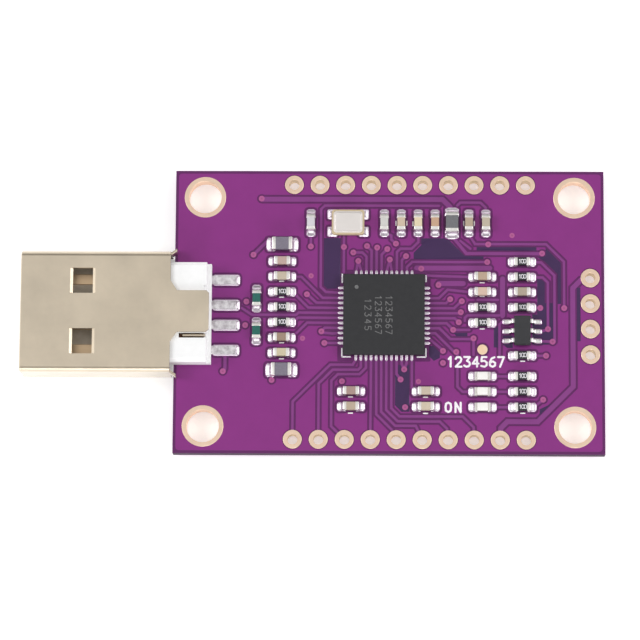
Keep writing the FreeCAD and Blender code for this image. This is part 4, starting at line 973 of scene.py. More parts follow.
class ADAPTER_OT_board(bpy.types.Operator):
    """Board with its mask, tracks standing proud of the laminate, covered vias and bare edges"""

    bl_idname = "adapter.board"
    bl_label = "Board"

    def execute(self, context):
        look = context.scene.adapter_board
        top, low = BOARD_TOP, BOARD_TOP - look.copper_step / MM
        rings = board_shapes(look.clearance / MM)
        hx, hy = BOARD_HIGH.x - look.edge_strip / MM, BOARD_HIGH.y - look.edge_strip / MM
        rings.append(("pour", rounded_at(0, 0, hx, hy, 0.3)))
        rings.append(("pour edge", rounded_at(0, 0, hx, hy, 0.3, 0.03)))
        flat, cells, kinds = plane_cells(rings)
        surfaces = [next(surface for kind, surface in SURFACES if kind in found) for found in kinds]
        if surfaces.count("copper") < 500:
            raise RuntimeError("the copper pattern did not form")
        raised = {i for cell, surface in zip(cells, surfaces) if surface in RAISED for i in cell}
        form = Form()
        form.points = [(p.x, p.y, top if i in raised else low) for i, p in enumerate(flat)]
        edges = {}
        for cell, surface in zip(cells, surfaces):
            if surface is None:
                continue
            form.faces.append(list(cell))
            form.finishes.append(FINISHES[surface])
            for a, b in zip(cell, list(cell[1:]) + [cell[0]]):
                edges[(a, b)] = True
        base = {}
        for a, b in [(a, b) for a, b in edges if (b, a) not in edges]:
            for v in (a, b):
                if v not in base:
                    base[v] = len(form.points)
                    form.points.append((flat[v].x, flat[v].y, 0.0))
            form.faces.append([b, a, base[a], base[b]])
            form.finishes.append(EDGE_FINISH)
        over_copper = mask_material("Mask over copper", look.mask_over_copper)
        form.piece("dressed_board", [
            over_copper,
            mask_material("Mask over laminate", look.mask_over_laminate, 0.8, 0.38, 0.00002),
            grained_material("Laminate edge", srgb(58, 26, 60), srgb(84, 48, 76), 0.5, 5000.0, 0.7),
            mask_material("Covered via", look.via_colour, 0.85),
            mask_material("Via middle", scaled(look.via_colour, 0.8), 0.75, 0.40),
            mask_material("Mask over track", look.mask_over_track),
            mask_material("Mask in the clearances", look.mask_in_clearance, 0.85, 0.38, 0.00002),
        ], "laminate", ["board"])
        self.underside(over_copper)
        return {"FINISHED"}

    def underside(self, mask):
        """Lower face: plain mask with a hole for every plated ring."""
        rings = [("hole", circle(x, y, HEADER_RING - OVERLAP, HEADER_SIDES)) for x, y in HEADERS]
        rings += [("hole", circle(x, y, MOUNT_RING - OVERLAP, MOUNT_SIDES)) for x, y in MOUNTS]
        flat, cells, kinds = plane_cells(rings)
        form = Form()
        form.add([(p.x, p.y, 0.0) for p in flat],
                 [cell[::-1] for cell, found in zip(cells, kinds) if "hole" not in found])
        form.piece("board_underside", [mask], "laminate")


def ring_profile(bore, rim, low, high, edge=0.02):
    """Section of a plated hole: radius and height, closed."""
    return [(bore, low + edge), (bore, high - edge), (bore + edge, high), (rim - edge * 1.5, high),
            (rim, high - edge), (rim, low), (bore + edge, low)]


class ADAPTER_OT_plating(bpy.types.Operator):
    """Gold-plated mounting holes, header holes and the test pad"""

    bl_idname = "adapter.plating"
    bl_label = "Plated holes"

    def execute(self, context):
        look = context.scene.adapter_board
        gold = [gold_material("Gold plating", look.gold),
                gold_material("Gold plating in the holes", look.gold_shaded_in_holes)]
        top = node_box("header_rings_far")[1].z
        form = Form()
        for x, y in MOUNTS:
            lathe(form, x, y, ring_profile(MOUNT_BORE, MOUNT_RING, 0.0, top), 72)
        form.piece("mount_hole_plating", gold[:1], "gold_plate", ["mounting_hole_rings"], smooth=28)
        rows = {"far": HEADERS[:10], "near": HEADERS[10:20], "side": HEADERS[20:]}
        for name, places in rows.items():
            form = Form()
            for x, y in places:
                # The wall of each header hole, the profile's first step, gets the gold with painted
                # shade.
                lathe(form, x, y, ring_profile(HEADER_BORE, HEADER_RING, 0.0, top), 48,
                      first_finish=1)
            form.piece("header_plating_" + name, gold, "gold_plate", ["header_rings_" + name],
                       smooth=28)
        x, y, radius = TEST_PAD
        low = top - 0.065
        form = Form()
        lathe(form, x, y, [(0.001, top), (radius - 0.03, top), (radius, top - 0.02), (radius, low),
                           (0.001, low)], 40)
        pad = mottled_material("Test pad plating", srgb(255, 226, 196), srgb(246, 210, 174), 0.8,
                               900.0, 0.40, 0.12, 0.45, 0.15)
        form.piece("test_pad_plating", [pad], "gold_plate", ["test_pad"], smooth=28, weld=0.003)
        return {"FINISHED"}


def end_solder(form, node, rise, grid=9):
    """Two fillets of one chip part: flat film under the end, domed outside it."""
    x, y, length, width, height, quarter = part_place(node)
    climb = min(rise * height, 0.42)
    across = width / 2 + 0.06
    toe = 0.58
    for sign in (-1, 1):
        rows = []
        for reach in [-0.28, -0.02] + [toe * i / grid for i in range(grid + 1)]:
            share = max(0.0, reach / toe)
            narrow = across
            if share > 0.55:
                narrow = across * (1 - 0.5 * ((share - 0.55) / 0.45) ** 2.6)
            hollow = 0.22 * (1 - share ** 3) + 0.78 * (1 - share) ** 3.2
            row = []
            for j in range(-grid, grid + 1):
                t = j / grid
                body = hollow * (1 - abs(t) ** 4) if reach >= 0 else (1 - abs(t) ** 4) * 0.1
                z = SEAT_Z - 0.004 + climb * body
                if share >= 1 or abs(j) == grid:
                    z = BOARD_TOP
                row.append(turned((sign * (length / 2 + reach), t * narrow, z), quarter, x, y))
            rows.append(row)
        add_grid(form, rows)


def toe_solder(form, x, y, heading, reach, half, rise, steps=6):
    """A narrow solder toe with a rounded tip, falling away from a terminal."""
    cos, sin = math.cos(heading), math.sin(heading)
    rows = []
    for i in range(steps + 3):
        share = max(0.0, (i - 2) / steps)
        along = reach * share if i > 1 else (-0.30 if i == 0 else 0.0)
        narrow = half * math.sqrt(max(0.0, 1 - max(0.0, (share - 0.55) / 0.45) ** 2.2))
        row = []
        for j in range(-4, 5):
            t = j / 4
            z = BOARD_TOP + 0.03 + rise * (1 - t ** 4) * (1 - share ** 1.3)
            if abs(j) == 4 or i == steps + 2:
                z = BOARD_TOP + 0.002
            across = t * narrow
            row.append((x + along * cos - across * sin, y + along * sin + across * cos, z))
        rows.append(row)
    add_grid(form, rows)


def pool_solder(form, x, y, half_x, half_y, corner, height, rings=4):
    """A flat pool of solder on a pad, domed towards its middle."""
    levels = []
    for k in range(rings + 1):
        share = k / rings
        inset = min(half_x, half_y) * 0.95 * share
        z = BOARD_TOP + height * math.sin(math.pi / 2 * min(1.0, share * 1.3))
        levels.append((z, inset, max(0.02, corner - inset * 0.8)))
    rounded_stack(form, x, y, half_x, half_y, levels)


def solder_field(node):
    """Which of the four fields of solder a chip part stands in."""
    for mark, field in (("_left", "left"), ("_data", "left"), ("_row", "row"), ("_near", "main")):
        if mark in node:
            return field
    return "right"


class ADAPTER_OT_solder(bpy.types.Operator):
    """Reflowed solder at every part's pads"""

    bl_idname = "adapter.solder"
    bl_label = "Solder"

    def execute(self, context):
        rise = context.scene.adapter_chips.solder_rise
        fields = {"left": Form(), "row": Form(), "right": Form(), "main": Form()}
        for node in CHIP_NODES:
            end_solder(fields[solder_field(node)], node, rise)
        for side in range(4):
            heading = math.pi / 2 * side
            cos, sin = math.cos(heading), math.sin(heading)
            for along in TERMINALS:
                toe_solder(fields["main"], MAIN_X + MAIN_HALF * cos - along * sin,
                           MAIN_Y + MAIN_HALF * sin + along * cos, heading, 0.55, 0.135, 0.05)
        for x, y in FOOT_PADS:
            pool_solder(fields["right"], x, y, 0.335, 0.235, 0.12, 0.05)
        for x, y in CRYSTAL_PADS:
            pool_solder(fields["row"], x, y, 0.49, 0.49, 0.14, 0.20)
        for y in PLUG_TAILS:
            pool_solder(fields["left"], TAIL_X, y, 1.34, 0.54, 0.25, 0.17)
        for name, form in fields.items():
            if not form.faces:
                raise RuntimeError("no solder in field " + name)
            form.piece("reflowed_solder_" + name, [solder_material()], "solder", ["solder_" + name],
                       smooth=60)
        return {"FINISHED"}


BODY_COLOURS = {
    "capacitor_left_1": (190, 164, 154), "capacitor_left_2": (196, 182, 162),
    "capacitor_left_3": (158, 134, 116),
    "capacitor_left_4": (206, 194, 164), "capacitor_row_1": (212, 208, 214),
    "capacitor_row_2": (208, 206, 202),
    "capacitor_row_3": (206, 186, 164), "capacitor_row_4": (226, 210, 178),
    "capacitor_row_5": (198, 162, 134),
    "capacitor_row_6": (182, 164, 142), "capacitor_row_7": (190, 178, 158),
    "capacitor_inner_1": (186, 162, 140),
    "capacitor_inner_2": (214, 186, 168), "capacitor_outer_1": (174, 160, 142),
    "capacitor_near_1": (170, 142, 134),
    "capacitor_near_2": (186, 168, 148), "capacitor_near_3": (200, 184, 166),
    "capacitor_near_4": (206, 192, 170),
    "ferrite_left_far": (122, 115, 129), "ferrite_left_near": (122, 115, 129),
    "ferrite_row": (110, 110, 114)}
METAL_END = 0.36  # length of a chip part's metal end


def part_body(form, node, edge):
    """Ceramic block with rounded metal ends, built by lofting sections along its length."""
    x, y, length, width, height, quarter = part_place(node)
    half, band_in = length / 2, length / 2 - METAL_END
    tip = [(-half, edge, edge * 0.6), (-half + edge * 0.3, edge * 0.3, edge),
           (-half + edge, 0, edge), (-band_in - 0.01, 0, edge), (-band_in, 0.012, edge * 0.8)]
    body = [(along, 0.02, 0.03) for along in (-band_in, -band_in * 0.4, band_in * 0.4, band_in)]
    back = [(-along, shrink, radius) for along, shrink, radius in reversed(tip)]
    sections = []
    for along, shrink, radius in tip + body + back:
        ring = rounded_rectangle(width / 2 - shrink, height / 2 - shrink, radius, 4)
        sections.append([turned((along, a, SEAT_Z + height / 2 + b), quarter, x, y)
                         for a, b in ring])
    loft(form, sections, [0] * len(tip) + [1] * (len(body) - 1) + [0] * len(back))


def part_finish(node):
    """Material and slot of a chip part's own body."""
    kind = node.split("_")[0]
    if kind in ("capacitor", "ferrite"):
        tone = srgb(*BODY_COLOURS[node])
        if kind == "ferrite":
            body = grained_material("Ferrite " + node, tone, scaled(tone, 1.9), 0.4, 9000.0, 0.45)
        else:
            body = grained_material("Ceramic " + node, tone, scaled(tone, 1.25), 0.3, 14000.0, 0.5)
    elif kind == "resistor":
        body = mottled_material("Resistor glaze", srgb(30, 29, 33), srgb(58, 57, 63), 0.6, 1800.0,
                                0.24, 0.12, bump=0.15)
    else:
        body = mottled_material("Protector glaze", srgb(28, 106, 94), srgb(20, 82, 76), 0.6, 1800.0,
                                0.3, 0.1, bump=0.12)
    return body, kind + "_ceramic"


class ADAPTER_OT_chip_parts(bpy.types.Operator):
    """Capacitors, resistors, ferrites and protectors with metal ends"""

    bl_idname = "adapter.chip_parts"
    bl_label = "Chip parts"

    def execute(self, context):
        edge = context.scene.adapter_chips.edge_radius / MM
        tin = tin_material()
        code = mottled_material("Part code", srgb(252, 250, 254), srgb(222, 220, 224), 0.8, 6000.0,
                                0.5, 0.1, bump=0.2)
        nodes = [n for n in CHIP_NODES if not n.startswith("led")]
        if len(nodes) < 30:
            raise RuntimeError("chip parts are missing")
        for node in nodes:
            body, slot = part_finish(node)
            form = Form()
            part_body(form, node, edge)
            if node.startswith("resistor"):
                x, y, _, _, height, _ = part_place(node)
                top = SEAT_Z + height - 0.02
                write_line(form, "100", x - 0.35, y - 0.2, 0.4, 0.25, 0.075, top - 0.003,
                           top + 0.004, finish=2)
            form.piece("part_" + node, [tin, body, code], slot, [node], smooth=40)
        return {"FINISHED"}


class ADAPTER_OT_lamps(bpy.types.Operator):
    """Three small indicator lamps: metal-ended carrier and a milky lens"""

    bl_idname = "adapter.lamps"
    bl_label = "Indicator lamps"

    def execute(self, context):
        materials = [
            mottled_material("Lamp lens", srgb(252, 250, 246), srgb(238, 237, 230), 0.5, 1500.0,
                             0.22, 0.1, bump=0.05),
            grained_material("Lamp carrier", srgb(206, 200, 180), srgb(232, 228, 214), 0.4, 9000.0,
                             0.55),
            tin_material()]
        low, high = SEAT_Z, SEAT_Z + 0.22
        levels = ((low, 0.015), (low + 0.02, 0), (high - 0.02, 0), (high, 0.015))
        for node in [n for n in CHIP_NODES if n.startswith("led")]:
            x, y, length, width, height, quarter = part_place(node)
            metal = length / 2 - 0.24
            form = Form()
            for sign in (-1, 1):
                for inner, outer, finish, grow in ((0.0, metal, 1, -0.01),
                                                   (metal, length / 2, 2, 0.0)):
                    start, stop = sorted((sign * inner, sign * outer))
                    rounded_stack(form, x, y, (stop - start) / 2, width / 2 + grow,
                                  [(z, (shrink if finish == 2 else 0, shrink), 0.03)
                                   for z, shrink in levels],
                                  3, finish, shift=(start + stop) / 2, quarter=quarter)
            top = SEAT_Z + height
            rounded_stack(form, x, y, length / 2 - 0.26, width / 2 - 0.005, [
                (high - 0.01, 0.0, 0.05), (top - 0.12, 0.02, 0.06), (top - 0.05, 0.05, 0.08),
                (top - 0.015, 0.09, 0.10), (top, 0.14, 0.10)], quarter=quarter)
            form.piece("lamp_" + node[-1], materials, "led_resin", [node], smooth=35)
        return {"FINISHED"}


STROKES = {
    "0": [(0.3, 0.0), (0.06, 0.12), (0.0, 0.5), (0.06, 0.88), (0.3, 1.0), (0.54, 0.88), (0.6, 0.5),
          (0.54, 0.12), (0.3, 0.0)],
    "1": [(0.15, 0.78), (0.35, 1.0), (0.35, 0.0)],
    "2": [(0.0, 0.8), (0.12, 0.97), (0.45, 0.97), (0.58, 0.78), (0.5, 0.52), (0.0, 0.0),
          (0.6, 0.0)],
    "3": [(0.0, 1.0), (0.58, 1.0), (0.28, 0.6), (0.5, 0.5), (0.6, 0.28), (0.48, 0.05), (0.2, 0.0),
          (0.0, 0.12)],
    "4": [(0.45, 0.0), (0.45, 1.0), (0.0, 0.32), (0.6, 0.32)],
    "5": [(0.55, 1.0), (0.08, 1.0), (0.03, 0.56), (0.35, 0.62), (0.58, 0.42), (0.56, 0.15),
          (0.35, 0.0), (0.0, 0.08)],
    "6": [(0.5, 0.98), (0.2, 0.85), (0.02, 0.45), (0.05, 0.12), (0.3, 0.0), (0.55, 0.12),
          (0.57, 0.4), (0.32, 0.56), (0.05, 0.42)],
    "7": [(0.0, 1.0), (0.6, 1.0), (0.2, 0.0)],
    "N": [(0.0, 0.0), (0.0, 1.0), (0.55, 0.0), (0.55, 1.0)],
}
STROKES["O"] = STROKES["0"]
FLAT_TICKS = [
    (-10.6, 3.0), (-10.6, 1.4), (-10.55, -3.15), (-10.55, -4.75), (-3.75, -8.5), (-3.75, -10.1),
    (3.6, -8.5), (3.6, -10.1), (9.15, 2.9), (9.15, 1.55), (9.15, -1.7), (13.1, -4.9),
    (13.1, -10.05)]
UPRIGHT_TICKS = [(0.66, 8.85), (1.72, 8.85), (2.33, 8.8), (7.34, 8.85), (8.37, 8.85)]


def write_line(form, text, x, y, height, pitch, width, z0, z1, turn=0.0, finish=0):
    """Plain stroke lettering; x, y is the lower left corner."""
    cos, sin = math.cos(turn), math.sin(turn)
    drawn = 0
    for k, letter in enumerate(text):
        spots = []
        for px, py in STROKES[letter]:
            px, py = px * height + k * pitch, py * height
            spots.append((x + px * cos - py * sin, y + px * sin + py * cos))
        for a, b in zip(spots, spots[1:]):
            # strokes that cross lie at slightly different heights
            stroke(form, a, b, width, z0, z1 - 0.0003 * (drawn % 5), finish)
            drawn += 1


class ADAPTER_OT_printing(bpy.types.Operator):
    """White printing on the board: chip corner marks, ticks and plain numbers"""

    bl_idname = "adapter.printing"
    bl_label = "Printing"

    def execute(self, context):
        z0, z1 = BOARD_TOP - 0.005, node_box("ink_marks")[1].z
        ink = [ink_material()]
        form = Form()
        reach, width = 4.05 + 0.07, 0.14
        stop = 2.75 + 0.13 + 0.34
        left, right = MAIN_X - reach, MAIN_X + reach
        low, high = MAIN_Y - reach, MAIN_Y + reach
        stroke(form, (left, MAIN_Y + stop + 0.07), (left, high), width, z0, z1)
        for x, sign in ((left, 1), (right, -1)):
            stroke(form, (x, low), (x, MAIN_Y - stop - 0.07), width, z0, z1)
            stroke(form, (x, low), (MAIN_X - sign * stop - sign * 0.07, low), width, z0, z1)
        stroke(form, (right, MAIN_Y + stop + 0.19), (right, high - 0.14), width, z0, z1)
        form.piece("corner_marks", ink, "ink", ["ink_marks"])
        form = Form()
        for x, y in FLAT_TICKS:
            stroke(form, (x - 0.2, y), (x + 0.2, y), 0.13, z0, z1)
        for x, y in UPRIGHT_TICKS:
            stroke(form, (x, y - 0.2), (x, y + 0.2), 0.13, z0, z1)
        write_line(form, "1234567", 5.72, -5.46, 0.96, 0.83, 0.21, z0, z1)
        write_line(form, "ON", 5.55, -9.95, 0.92, 0.98, 0.22, z0, z1)
        form.piece("printed_ticks_and_numbers", ink, "ink")
        return {"FINISHED"}


def moulding_material(name, tone):
    grain = [min(1.0, c * 1.9 + 0.01) for c in tone]
    return grained_material(name, tone, grain, 0.35, 16000.0, 0.55, 0.25, 0.000005)


def flat_with_hole(form, outer, inner, z):
    """A flat face with one round hole through it."""
    loops = [[Vector((x, y, z)) for x, y in ring] for ring in (outer, inner)]
    form.add(loops[0] + loops[1], tessellate_polygon(loops))


class ADAPTER_OT_main_chip(bpy.types.Operator):
    """Square flat chip with a sunk pin-one mark and plated terminals on its four sides"""

    bl_idname = "adapter.main_chip"
    bl_label = "Main chip"

    def execute(self, context):
        low, high = node_box("main_chip_body")
        low, top = low.z, high.z
        form = Form()
        rim = rounded_stack(form, MAIN_X, MAIN_Y, MAIN_HALF, MAIN_HALF, [
            (low, 0.40, 0.02), (low + 0.2, 0.40, 0.02), (low + 0.2, 0.0, 0.05),
            (top - 0.06, 0.0, 0.05), (top - 0.025, 0.018, 0.06), (top, 0.06, 0.08)], 3, cap=False)
        dot_x, dot_y = MAIN_X - MAIN_HALF + 1.30, MAIN_Y + MAIN_HALF - 1.30
        flat_with_hole(form, [(x, y) for x, y, _ in rim], circle(dot_x, dot_y, 0.25, 36), top)
        lathe(form, dot_x, dot_y, [(0.25, top), (0.235, top - 0.02), (0.21, top - 0.05),
                                   (0.002, top - 0.05)], 36, closed=False)
        tone = tuple(context.scene.adapter_chips.moulding)
        form.piece("main_chip_moulding", [moulding_material("Moulding compound", tone)],
                   "chip_moulding", ["main_chip_body"], smooth=30, weld=0.003)
        form = Form()
        for text, x, y, pitch in (("1234567", -0.32, 1.42, 0.57), ("1234567", -1.36, 1.42, 0.57),
                                  ("12345", -2.38, 1.1, 0.68)):
            write_line(form, text, x, y, 0.62, pitch, 0.085, top - 0.002, top + 0.004,
                       turn=-math.pi / 2)
        form.add([(x, y, top - 0.045) for x, y in circle(dot_x, dot_y, 0.2, 30)], [range(30)])
        ink = mottled_material("Faint marking", srgb(128, 128, 128), srgb(92, 92, 94), 1.0, 9000.0,
                               0.6, 0.1, bump=0.2)
        form.piece("main_chip_marking", [ink], "chip_moulding")
        metal = terminal_material()
        for node in ("main_chip_terminals", "main_chip_thermal_pad"):
            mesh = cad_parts[node].data
            mesh.materials.clear()
            mesh.materials.append(metal)
        return {"FINISHED"}


def swept_lead(line, width, thickness):
    """Sections of a flat strip along a line of (across, z) points, with softened edges."""
    sections = []
    ring = rounded_rectangle(width / 2, thickness / 2, 0.035, 2)
    for i, (a, z) in enumerate(line):
        p, q = line[max(i - 1, 0)], line[min(i + 1, len(line) - 1)]
        tx, tz = q[0] - p[0], q[1] - p[1]
        size = math.hypot(tx, tz)
        nx, nz = -tz / size, tx / size
        sections.append([(a + nx * v, u, z + nz * v) for u, v in ring])
    return sections


class ADAPTER_OT_memory_chip(bpy.types.Operator):
    """Small six-lead chip with smooth bent leads"""

    bl_idname = "adapter.memory_chip"
    bl_label = "Memory chip"

    def execute(self, context):
        low, high = node_box("memory_chip_body")
        middle = (low.z + high.z) / 2
        half_x, half_y = (high.x - low.x) / 2, (high.y - low.y) / 2
        form = Form()
        rounded_stack(form, MEMORY_X, MEMORY_Y, half_x, half_y, [
            (low.z, 0.12, 0.06), (low.z + 0.03, 0.09, 0.06), (middle - 0.03, 0.0, 0.06),
            (middle + 0.03, 0.0, 0.06), (high.z - 0.04, 0.085, 0.06), (high.z - 0.012, 0.10, 0.06),
            (high.z, 0.13, 0.06)])
        tone = scaled(context.scene.adapter_chips.moulding, 1.5)
        form.piece("memory_chip_moulding", [moulding_material("Small chip moulding", tone)],
                   "chip_moulding", ["memory_chip_body"], smooth=35)
        thick, bend = 0.15, 0.12
        foot_z = SEAT_Z + thick / 2
        angles = [math.pi / 2 * i / 6 * 0.86 for i in range(7)]
        line = [(half_x - 0.12, middle), (half_x + 0.10, middle)]
        line += [(half_x + 0.10 + bend * math.sin(t), middle - bend * (1 - math.cos(t)))
                 for t in angles[1:]]
        line += [(half_x + 0.50 - bend * math.sin(t), foot_z + bend * (1 - math.cos(t)))
                 for t in reversed(angles)]
        line += [(half_x + 0.75, foot_z), (half_x + 0.89, foot_z)]
        sections = swept_lead(line, 0.42, thick)
        form = Form()
        for side in (-1, 1):
            for i in (-1, 0, 1):
                loft(form, [[(MEMORY_X + side * a, MEMORY_Y + i * 0.95 + side * b, z)
                             for a, b, z in ring] for ring in sections],
                     [0] * (len(sections) - 1))
        form.piece("memory_chip_bent_leads", [terminal_material()], "tinned_copper",
                   ["memory_chip_leads"], smooth=40)
        return {"FINISHED"}


class ADAPTER_OT_crystal(bpy.types.Operator):
    """Ceramic crystal case with its welded metal lid"""

    bl_idname = "adapter.crystal"
    bl_label = "Crystal"

    def execute(self, context):
        ceramic = grained_material("Crystal ceramic", srgb(206, 186, 152), srgb(224, 208, 178), 0.4,
                                   12000.0, 0.5)
        dressed("crystal_base", "crystal_case", [ceramic], 0.03)
        low, high = node_box("crystal_lid")
        form = Form()
        rounded_stack(form, CRYSTAL_X, CRYSTAL_Y, (high.x - low.x) / 2, (high.y - low.y) / 2, [
            (low.z, 0.0, 0.3), (low.z + 0.06, 0.0, 0.3), (low.z + 0.075, 0.12, 0.22),
            (high.z - 0.09, 0.13, 0.22), (high.z - 0.03, 0.16, 0.22), (high.z, 0.24, 0.18)], 5)
        lid = sheet_metal("Lid metal", srgb(250, 244, 240), 0.42, 0.1)
        form.piece("crystal_cover", [lid], "crystal_metal", ["crystal_lid"], smooth=35)
        return {"FINISHED"}


class ADAPTER_OT_plug(bpy.types.Operator):
    """Folded steel shell, white insulator and four contacts of the plug"""

    bl_idname = "adapter.plug"
    bl_label = "Plug"

    def execute(self, context):
        look = context.scene.adapter_plug
        steel = sheet_metal("Plated plug steel", look.shell_colour, 0.30, 0.16, 1.0)
        # The inside of the shell is a darker copy of the plated steel: painted shade.
        inner = sheet_metal("Plug steel inside", scaled(look.shell_colour, 0.42), 0.5, 0.2)
        dressed("plug_shell", "plug_folded_sheet", [steel, inner], look.edge / MM,
                sharp=50, smooth=32, choose=self.painted_steel_shade, after=self.slope_windows,
                keep=lambda point: abs(point.x - WINDOW_X) < 1.0 and point.z > 3.7)
        form = Form()
        sections = []
        strip_y, strip_z = -2.77, 3.44
        for x, shrink in ((-20.2, 0.03), (-20.17, 0.0), (-17.98, 0.0), (-17.95, 0.03)):
            ring = rounded_rectangle(0.09 - shrink, 0.24 - shrink, 0.04, 3)
            sections.append([(x, strip_y + a, strip_z + b) for a, b in ring])
        loft(form, sections, [0] * 3)
        form.piece("plug_slot_strip", [steel], "plug_steel", smooth=40)
        white = mottled_material("White plug moulding", look.moulding, scaled(look.moulding, 0.9),
                                 0.6, 900.0, 0.42, 0.1, bump=0.15)
        # A dark brown painted shade for the floor of the slot.
        shade = sheet_metal("Slot shade", srgb(92, 66, 52), 0.5, 0.15)
        # The tongue is a warm grey copy of the white moulding: painted shade inside the shell.
        shaded_tongue = mottled_material("Tongue moulding", srgb(226, 213, 194), srgb(204, 190, 168), 0.8,
                                  900.0, 0.5, 0.1, bump=0.15)
        dressed("plug_insulator", "plug_white_insulator", [white, shade, shaded_tongue],
                0.06, sharp=50, choose=self.painted_moulding_shade, split=TONGUE_X)
        plating = plated_material("Contact plating", srgb(255, 252, 254), srgb(168, 158, 166), 0.9,
                                  1700.0, 0.26, 0.14, 0.5, 0.00004)
        blade = sheet_metal("Contact blade", srgb(238, 208, 170), 0.35, 0.15)
        dressed("plug_contacts", "plug_contact_strips", [plating, blade], 0.04,
                sharp=40, choose=lambda centre: 1 if centre.x < BLADE_X else 0, split=BLADE_X)
        return {"FINISHED"}

    @staticmethod
    def painted_steel_shade(centre):
        """Second finish, a darker copy of the steel that paints the shade inside the shell, for the
        inner faces of the folded sheet.
        """
        in_shade = abs(centre.y - PLUG_Y) < 5.75 and -0.15 < centre.z < 3.85 and centre.x > -36.0
        return 1 if in_shade else 0

    @staticmethod
    def painted_moulding_shade(centre):
        """Third finish, a warm grey painted shade on the white moulding, for the tongue inside the
        shell, and second, a dark brown painted shade, for the floor of the slot.
        """
        if centre.x < TONGUE_X:
            return 2
        in_slot = -20.6 < centre.x < -17.9 and -3.05 < centre.y < -2.5 and 3.0 < centre.z < 3.3
        return 1 if in_slot else 0

    @staticmethod
    def slope_windows(bm):
        """Sinks the two ends of both latch windows below the sheet's outer face."""
        slope, sunk = 0.26, 0.18
        ends = [WINDOW_X + sign * WINDOW_HALF_X for sign in (-1, 1)]
        sides = [PLUG_Y + offset + sign * WINDOW_HALF_Y
                 for offset in WINDOW_OFFSETS for sign in (-1, 1)]

        def on_top(face):
            return face.normal.z > 0.99 and face.calc_center_median().z > SHELL_TOP - 0.02 * MM

        for sign, x in zip((-1, 1), ends):
            cut_across(bm, 0, x + sign * slope, on_top)
        for offset in WINDOW_OFFSETS:
            for y in (-1.25, -WINDOW_HALF_Y, WINDOW_HALF_Y, 1.25):
                cut_across(bm, 1, PLUG_Y + offset + y, on_top)
        for vert in bm.verts:
            x, y, _ = vert.co / MM
            if (abs(vert.co.z - SHELL_TOP) < 1e-6 and min(abs(x - end_x) for end_x in ends) < 0.003
                    and min(abs(y - side_y) for side_y in sides) < 0.003):
                vert.co.z -= sunk * MM
        bm.normal_update()
        edges, corners = edges_and_corners([f for f in bm.faces if on_top(f)])
        bmesh.ops.dissolve_limit(bm, angle_limit=math.radians(0.5), verts=corners, edges=edges)


def area_light(name, place, aim, size_x, size_y, power):
    """A broad rectangular light at a place, turned to an aim; both in metres."""
    light = bpy.data.lights.new(name, "AREA")
    light.shape = "RECTANGLE"
    light.size, light.size_y = size_x, size_y
    light.energy = power
    obj = bpy.data.objects.new(name, light)
    obj.location = place
    obj.rotation_euler = (Vector(aim) - Vector(place)).to_track_quat("-Z", "Y").to_euler()
    bpy.context.scene.collection.objects.link(obj)
    return obj


def studio_world(look):
    """White room: paler low down, with a darker gap between the side walls and the ceiling."""
    world = bpy.data.worlds.new("studio")
    world.use_nodes = True
    tree = world.node_tree
    coords = add_node(tree, "TexCoord").outputs["Generated"]
    heading = add_node(tree, "SeparateXYZ", {"Vector": coords}).outputs
    fall = add_node(tree, "MapRange", {
        "Value": heading["Z"], "From Min": 0.30, "From Max": 0.95, "To Min": look.sky_horizon,
        "To Max": look.sky_zenith}).outputs["Result"]
    window = add_node(tree, "ValToRGB", {"Fac": heading["Z"]})
    stops = window.color_ramp.elements
    stops.new(0.55)
    stops.new(0.84)
    for stop, (place, level) in zip(stops, ((0.42, 0), (0.55, 1), (0.84, 1), (0.93, 0))):
        stop.position = place
        stop.color = (level, level, level, 1.0)
    beside = add_node(tree, "MapRange", {
        "Value": math_node(tree, "ABSOLUTE", heading["Y"]), "From Min": 0.22,
        "From Max": 0.40}).outputs["Result"]
    gap = math_node(tree, "MULTIPLY", window.outputs["Color"], beside)
    share = math_node(tree, "MULTIPLY_ADD", gap, -look.sky_gap, 1.0)
    set_inputs(tree, tree.nodes["Background"], {
        "Color": (1.0, 1.0, 1.0, 1.0), "Strength": math_node(tree, "MULTIPLY", fall, share)})
    return world


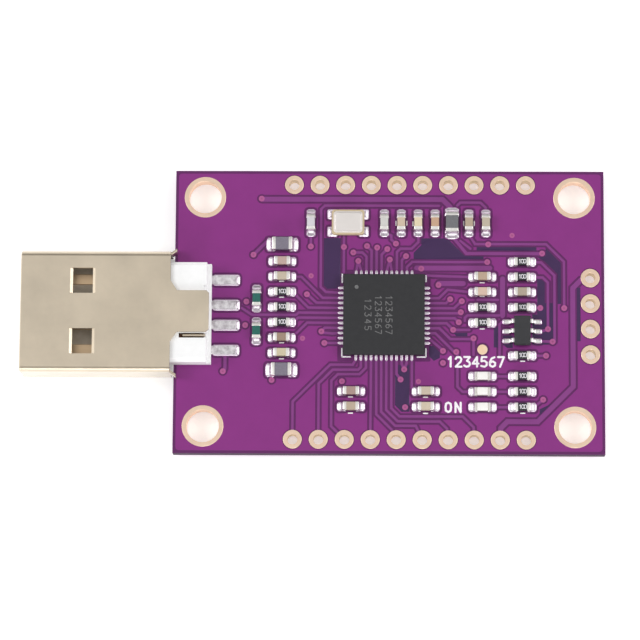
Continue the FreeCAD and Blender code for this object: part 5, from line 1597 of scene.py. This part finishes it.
class ADAPTER_OT_stage(bpy.types.Operator):
    """Pale floor, soft studio light and the camera"""

    bl_idname = "adapter.stage"
    bl_label = "Stage"

    def execute(self, context):
        look = context.scene.adapter_stage
        half = look.floor_size / 2
        z = node_box("plug_shell")[0].z * MM - 0.00002
        mesh = bpy.data.meshes.new("floor")
        mesh.from_pydata([(-half, -half, z), (half, -half, z), (half, half, z), (-half, half, z)],
                         [], [(0, 1, 2, 3)])
        paper = mottled_material("Plain floor", look.floor_colour, scaled(look.floor_colour, 0.985),
                                 1.0, 6.0, 0.75, 0.05, bump=0.02, specular=0.1)
        set_inputs(paper.node_tree, paper.node_tree.nodes["Principled BSDF"], {
            "Emission Color": (1.0, 1.0, 1.0, 1.0), "Emission Strength": look.floor_glow})
        mesh.materials.append(paper)
        floor = bpy.data.objects.new("floor", mesh)
        context.scene.collection.objects.link(floor)
        key = look.key_power
        area_light("left light", (-0.46, 0.02, 0.40), (0, 0, 0), 0.30, 0.26, key)
        area_light("right light", (0.48, 0.02, 0.40), (0, 0, 0), 0.30, 0.26, key * 0.8)
        area_light("front light", (0.06, -0.50, 0.22), (0, 0, 0), 0.40, 0.16, key * 0.7)
        area_light("back light", (0.10, 0.50, 0.14), (0.01, 0, 0), 0.34, 0.12, key * 0.08)
        context.scene.world = studio_world(look)
        camera = bpy.data.cameras.new("camera")
        camera.lens = look.lens
        camera.sensor_width = 36
        camera.clip_start = 0.01
        camera.clip_end = 20
        obj = bpy.data.objects.new("camera", camera)
        place = Vector((0.641, -56.07, 326.87)) * MM
        turn = (Matrix.Rotation(-0.00329215882, 3, "Z") @ Matrix.Rotation(-0.0225225668, 3, "Y")
                @ Matrix.Rotation(-0.168105636, 3, "X"))
        obj.matrix_world = Matrix.Translation(place) @ turn.transposed().to_4x4()
        context.scene.collection.objects.link(obj)
        context.scene.camera = obj
        context.scene.view_settings.view_transform = "Standard"
        return {"FINISHED"}


class ADAPTER_PT_panel(bpy.types.Panel):
    """Adapter board controls"""

    bl_label = "Adapter board"
    bl_idname = "ADAPTER_PT_panel"
    bl_space_type = "VIEW_3D"
    bl_region_type = "UI"
    bl_category = "Adapter"

    def draw(self, context):
        layout = self.layout
        for group, cls in GROUPS.items():
            box = layout.box()
            for field in cls.__annotations__:
                box.prop(getattr(context.scene, group), field)
        for operator in OPERATORS:
            layout.operator(operator.bl_idname)


GROUPS = {"adapter_board": BoardProperties, "adapter_chips": ChipProperties,
          "adapter_plug": PlugProperties, "adapter_stage": StageProperties}
OPERATORS = [ADAPTER_OT_board, ADAPTER_OT_plating, ADAPTER_OT_solder, ADAPTER_OT_chip_parts,
             ADAPTER_OT_lamps, ADAPTER_OT_printing, ADAPTER_OT_main_chip,
             ADAPTER_OT_memory_chip, ADAPTER_OT_crystal, ADAPTER_OT_plug, ADAPTER_OT_stage]


def register():
    for cls in list(GROUPS.values()) + OPERATORS + [ADAPTER_PT_panel]:
        bpy.utils.register_class(cls)
    for name, cls in GROUPS.items():
        setattr(bpy.types.Scene, name, PointerProperty(type=cls))


def unregister():
    for name in GROUPS:
        delattr(bpy.types.Scene, name)
    for cls in reversed(list(GROUPS.values()) + OPERATORS + [ADAPTER_PT_panel]):
        bpy.utils.unregister_class(cls)


def main():
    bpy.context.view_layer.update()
    register()
    bpy.ops.adapter.board()
    bpy.ops.adapter.plating()
    bpy.ops.adapter.solder()
    bpy.ops.adapter.chip_parts()
    bpy.ops.adapter.lamps()
    bpy.ops.adapter.printing()
    bpy.ops.adapter.main_chip()
    bpy.ops.adapter.memory_chip()
    bpy.ops.adapter.crystal()
    bpy.ops.adapter.plug()
    bpy.ops.adapter.stage()


if __name__ == "__main__":
    main()
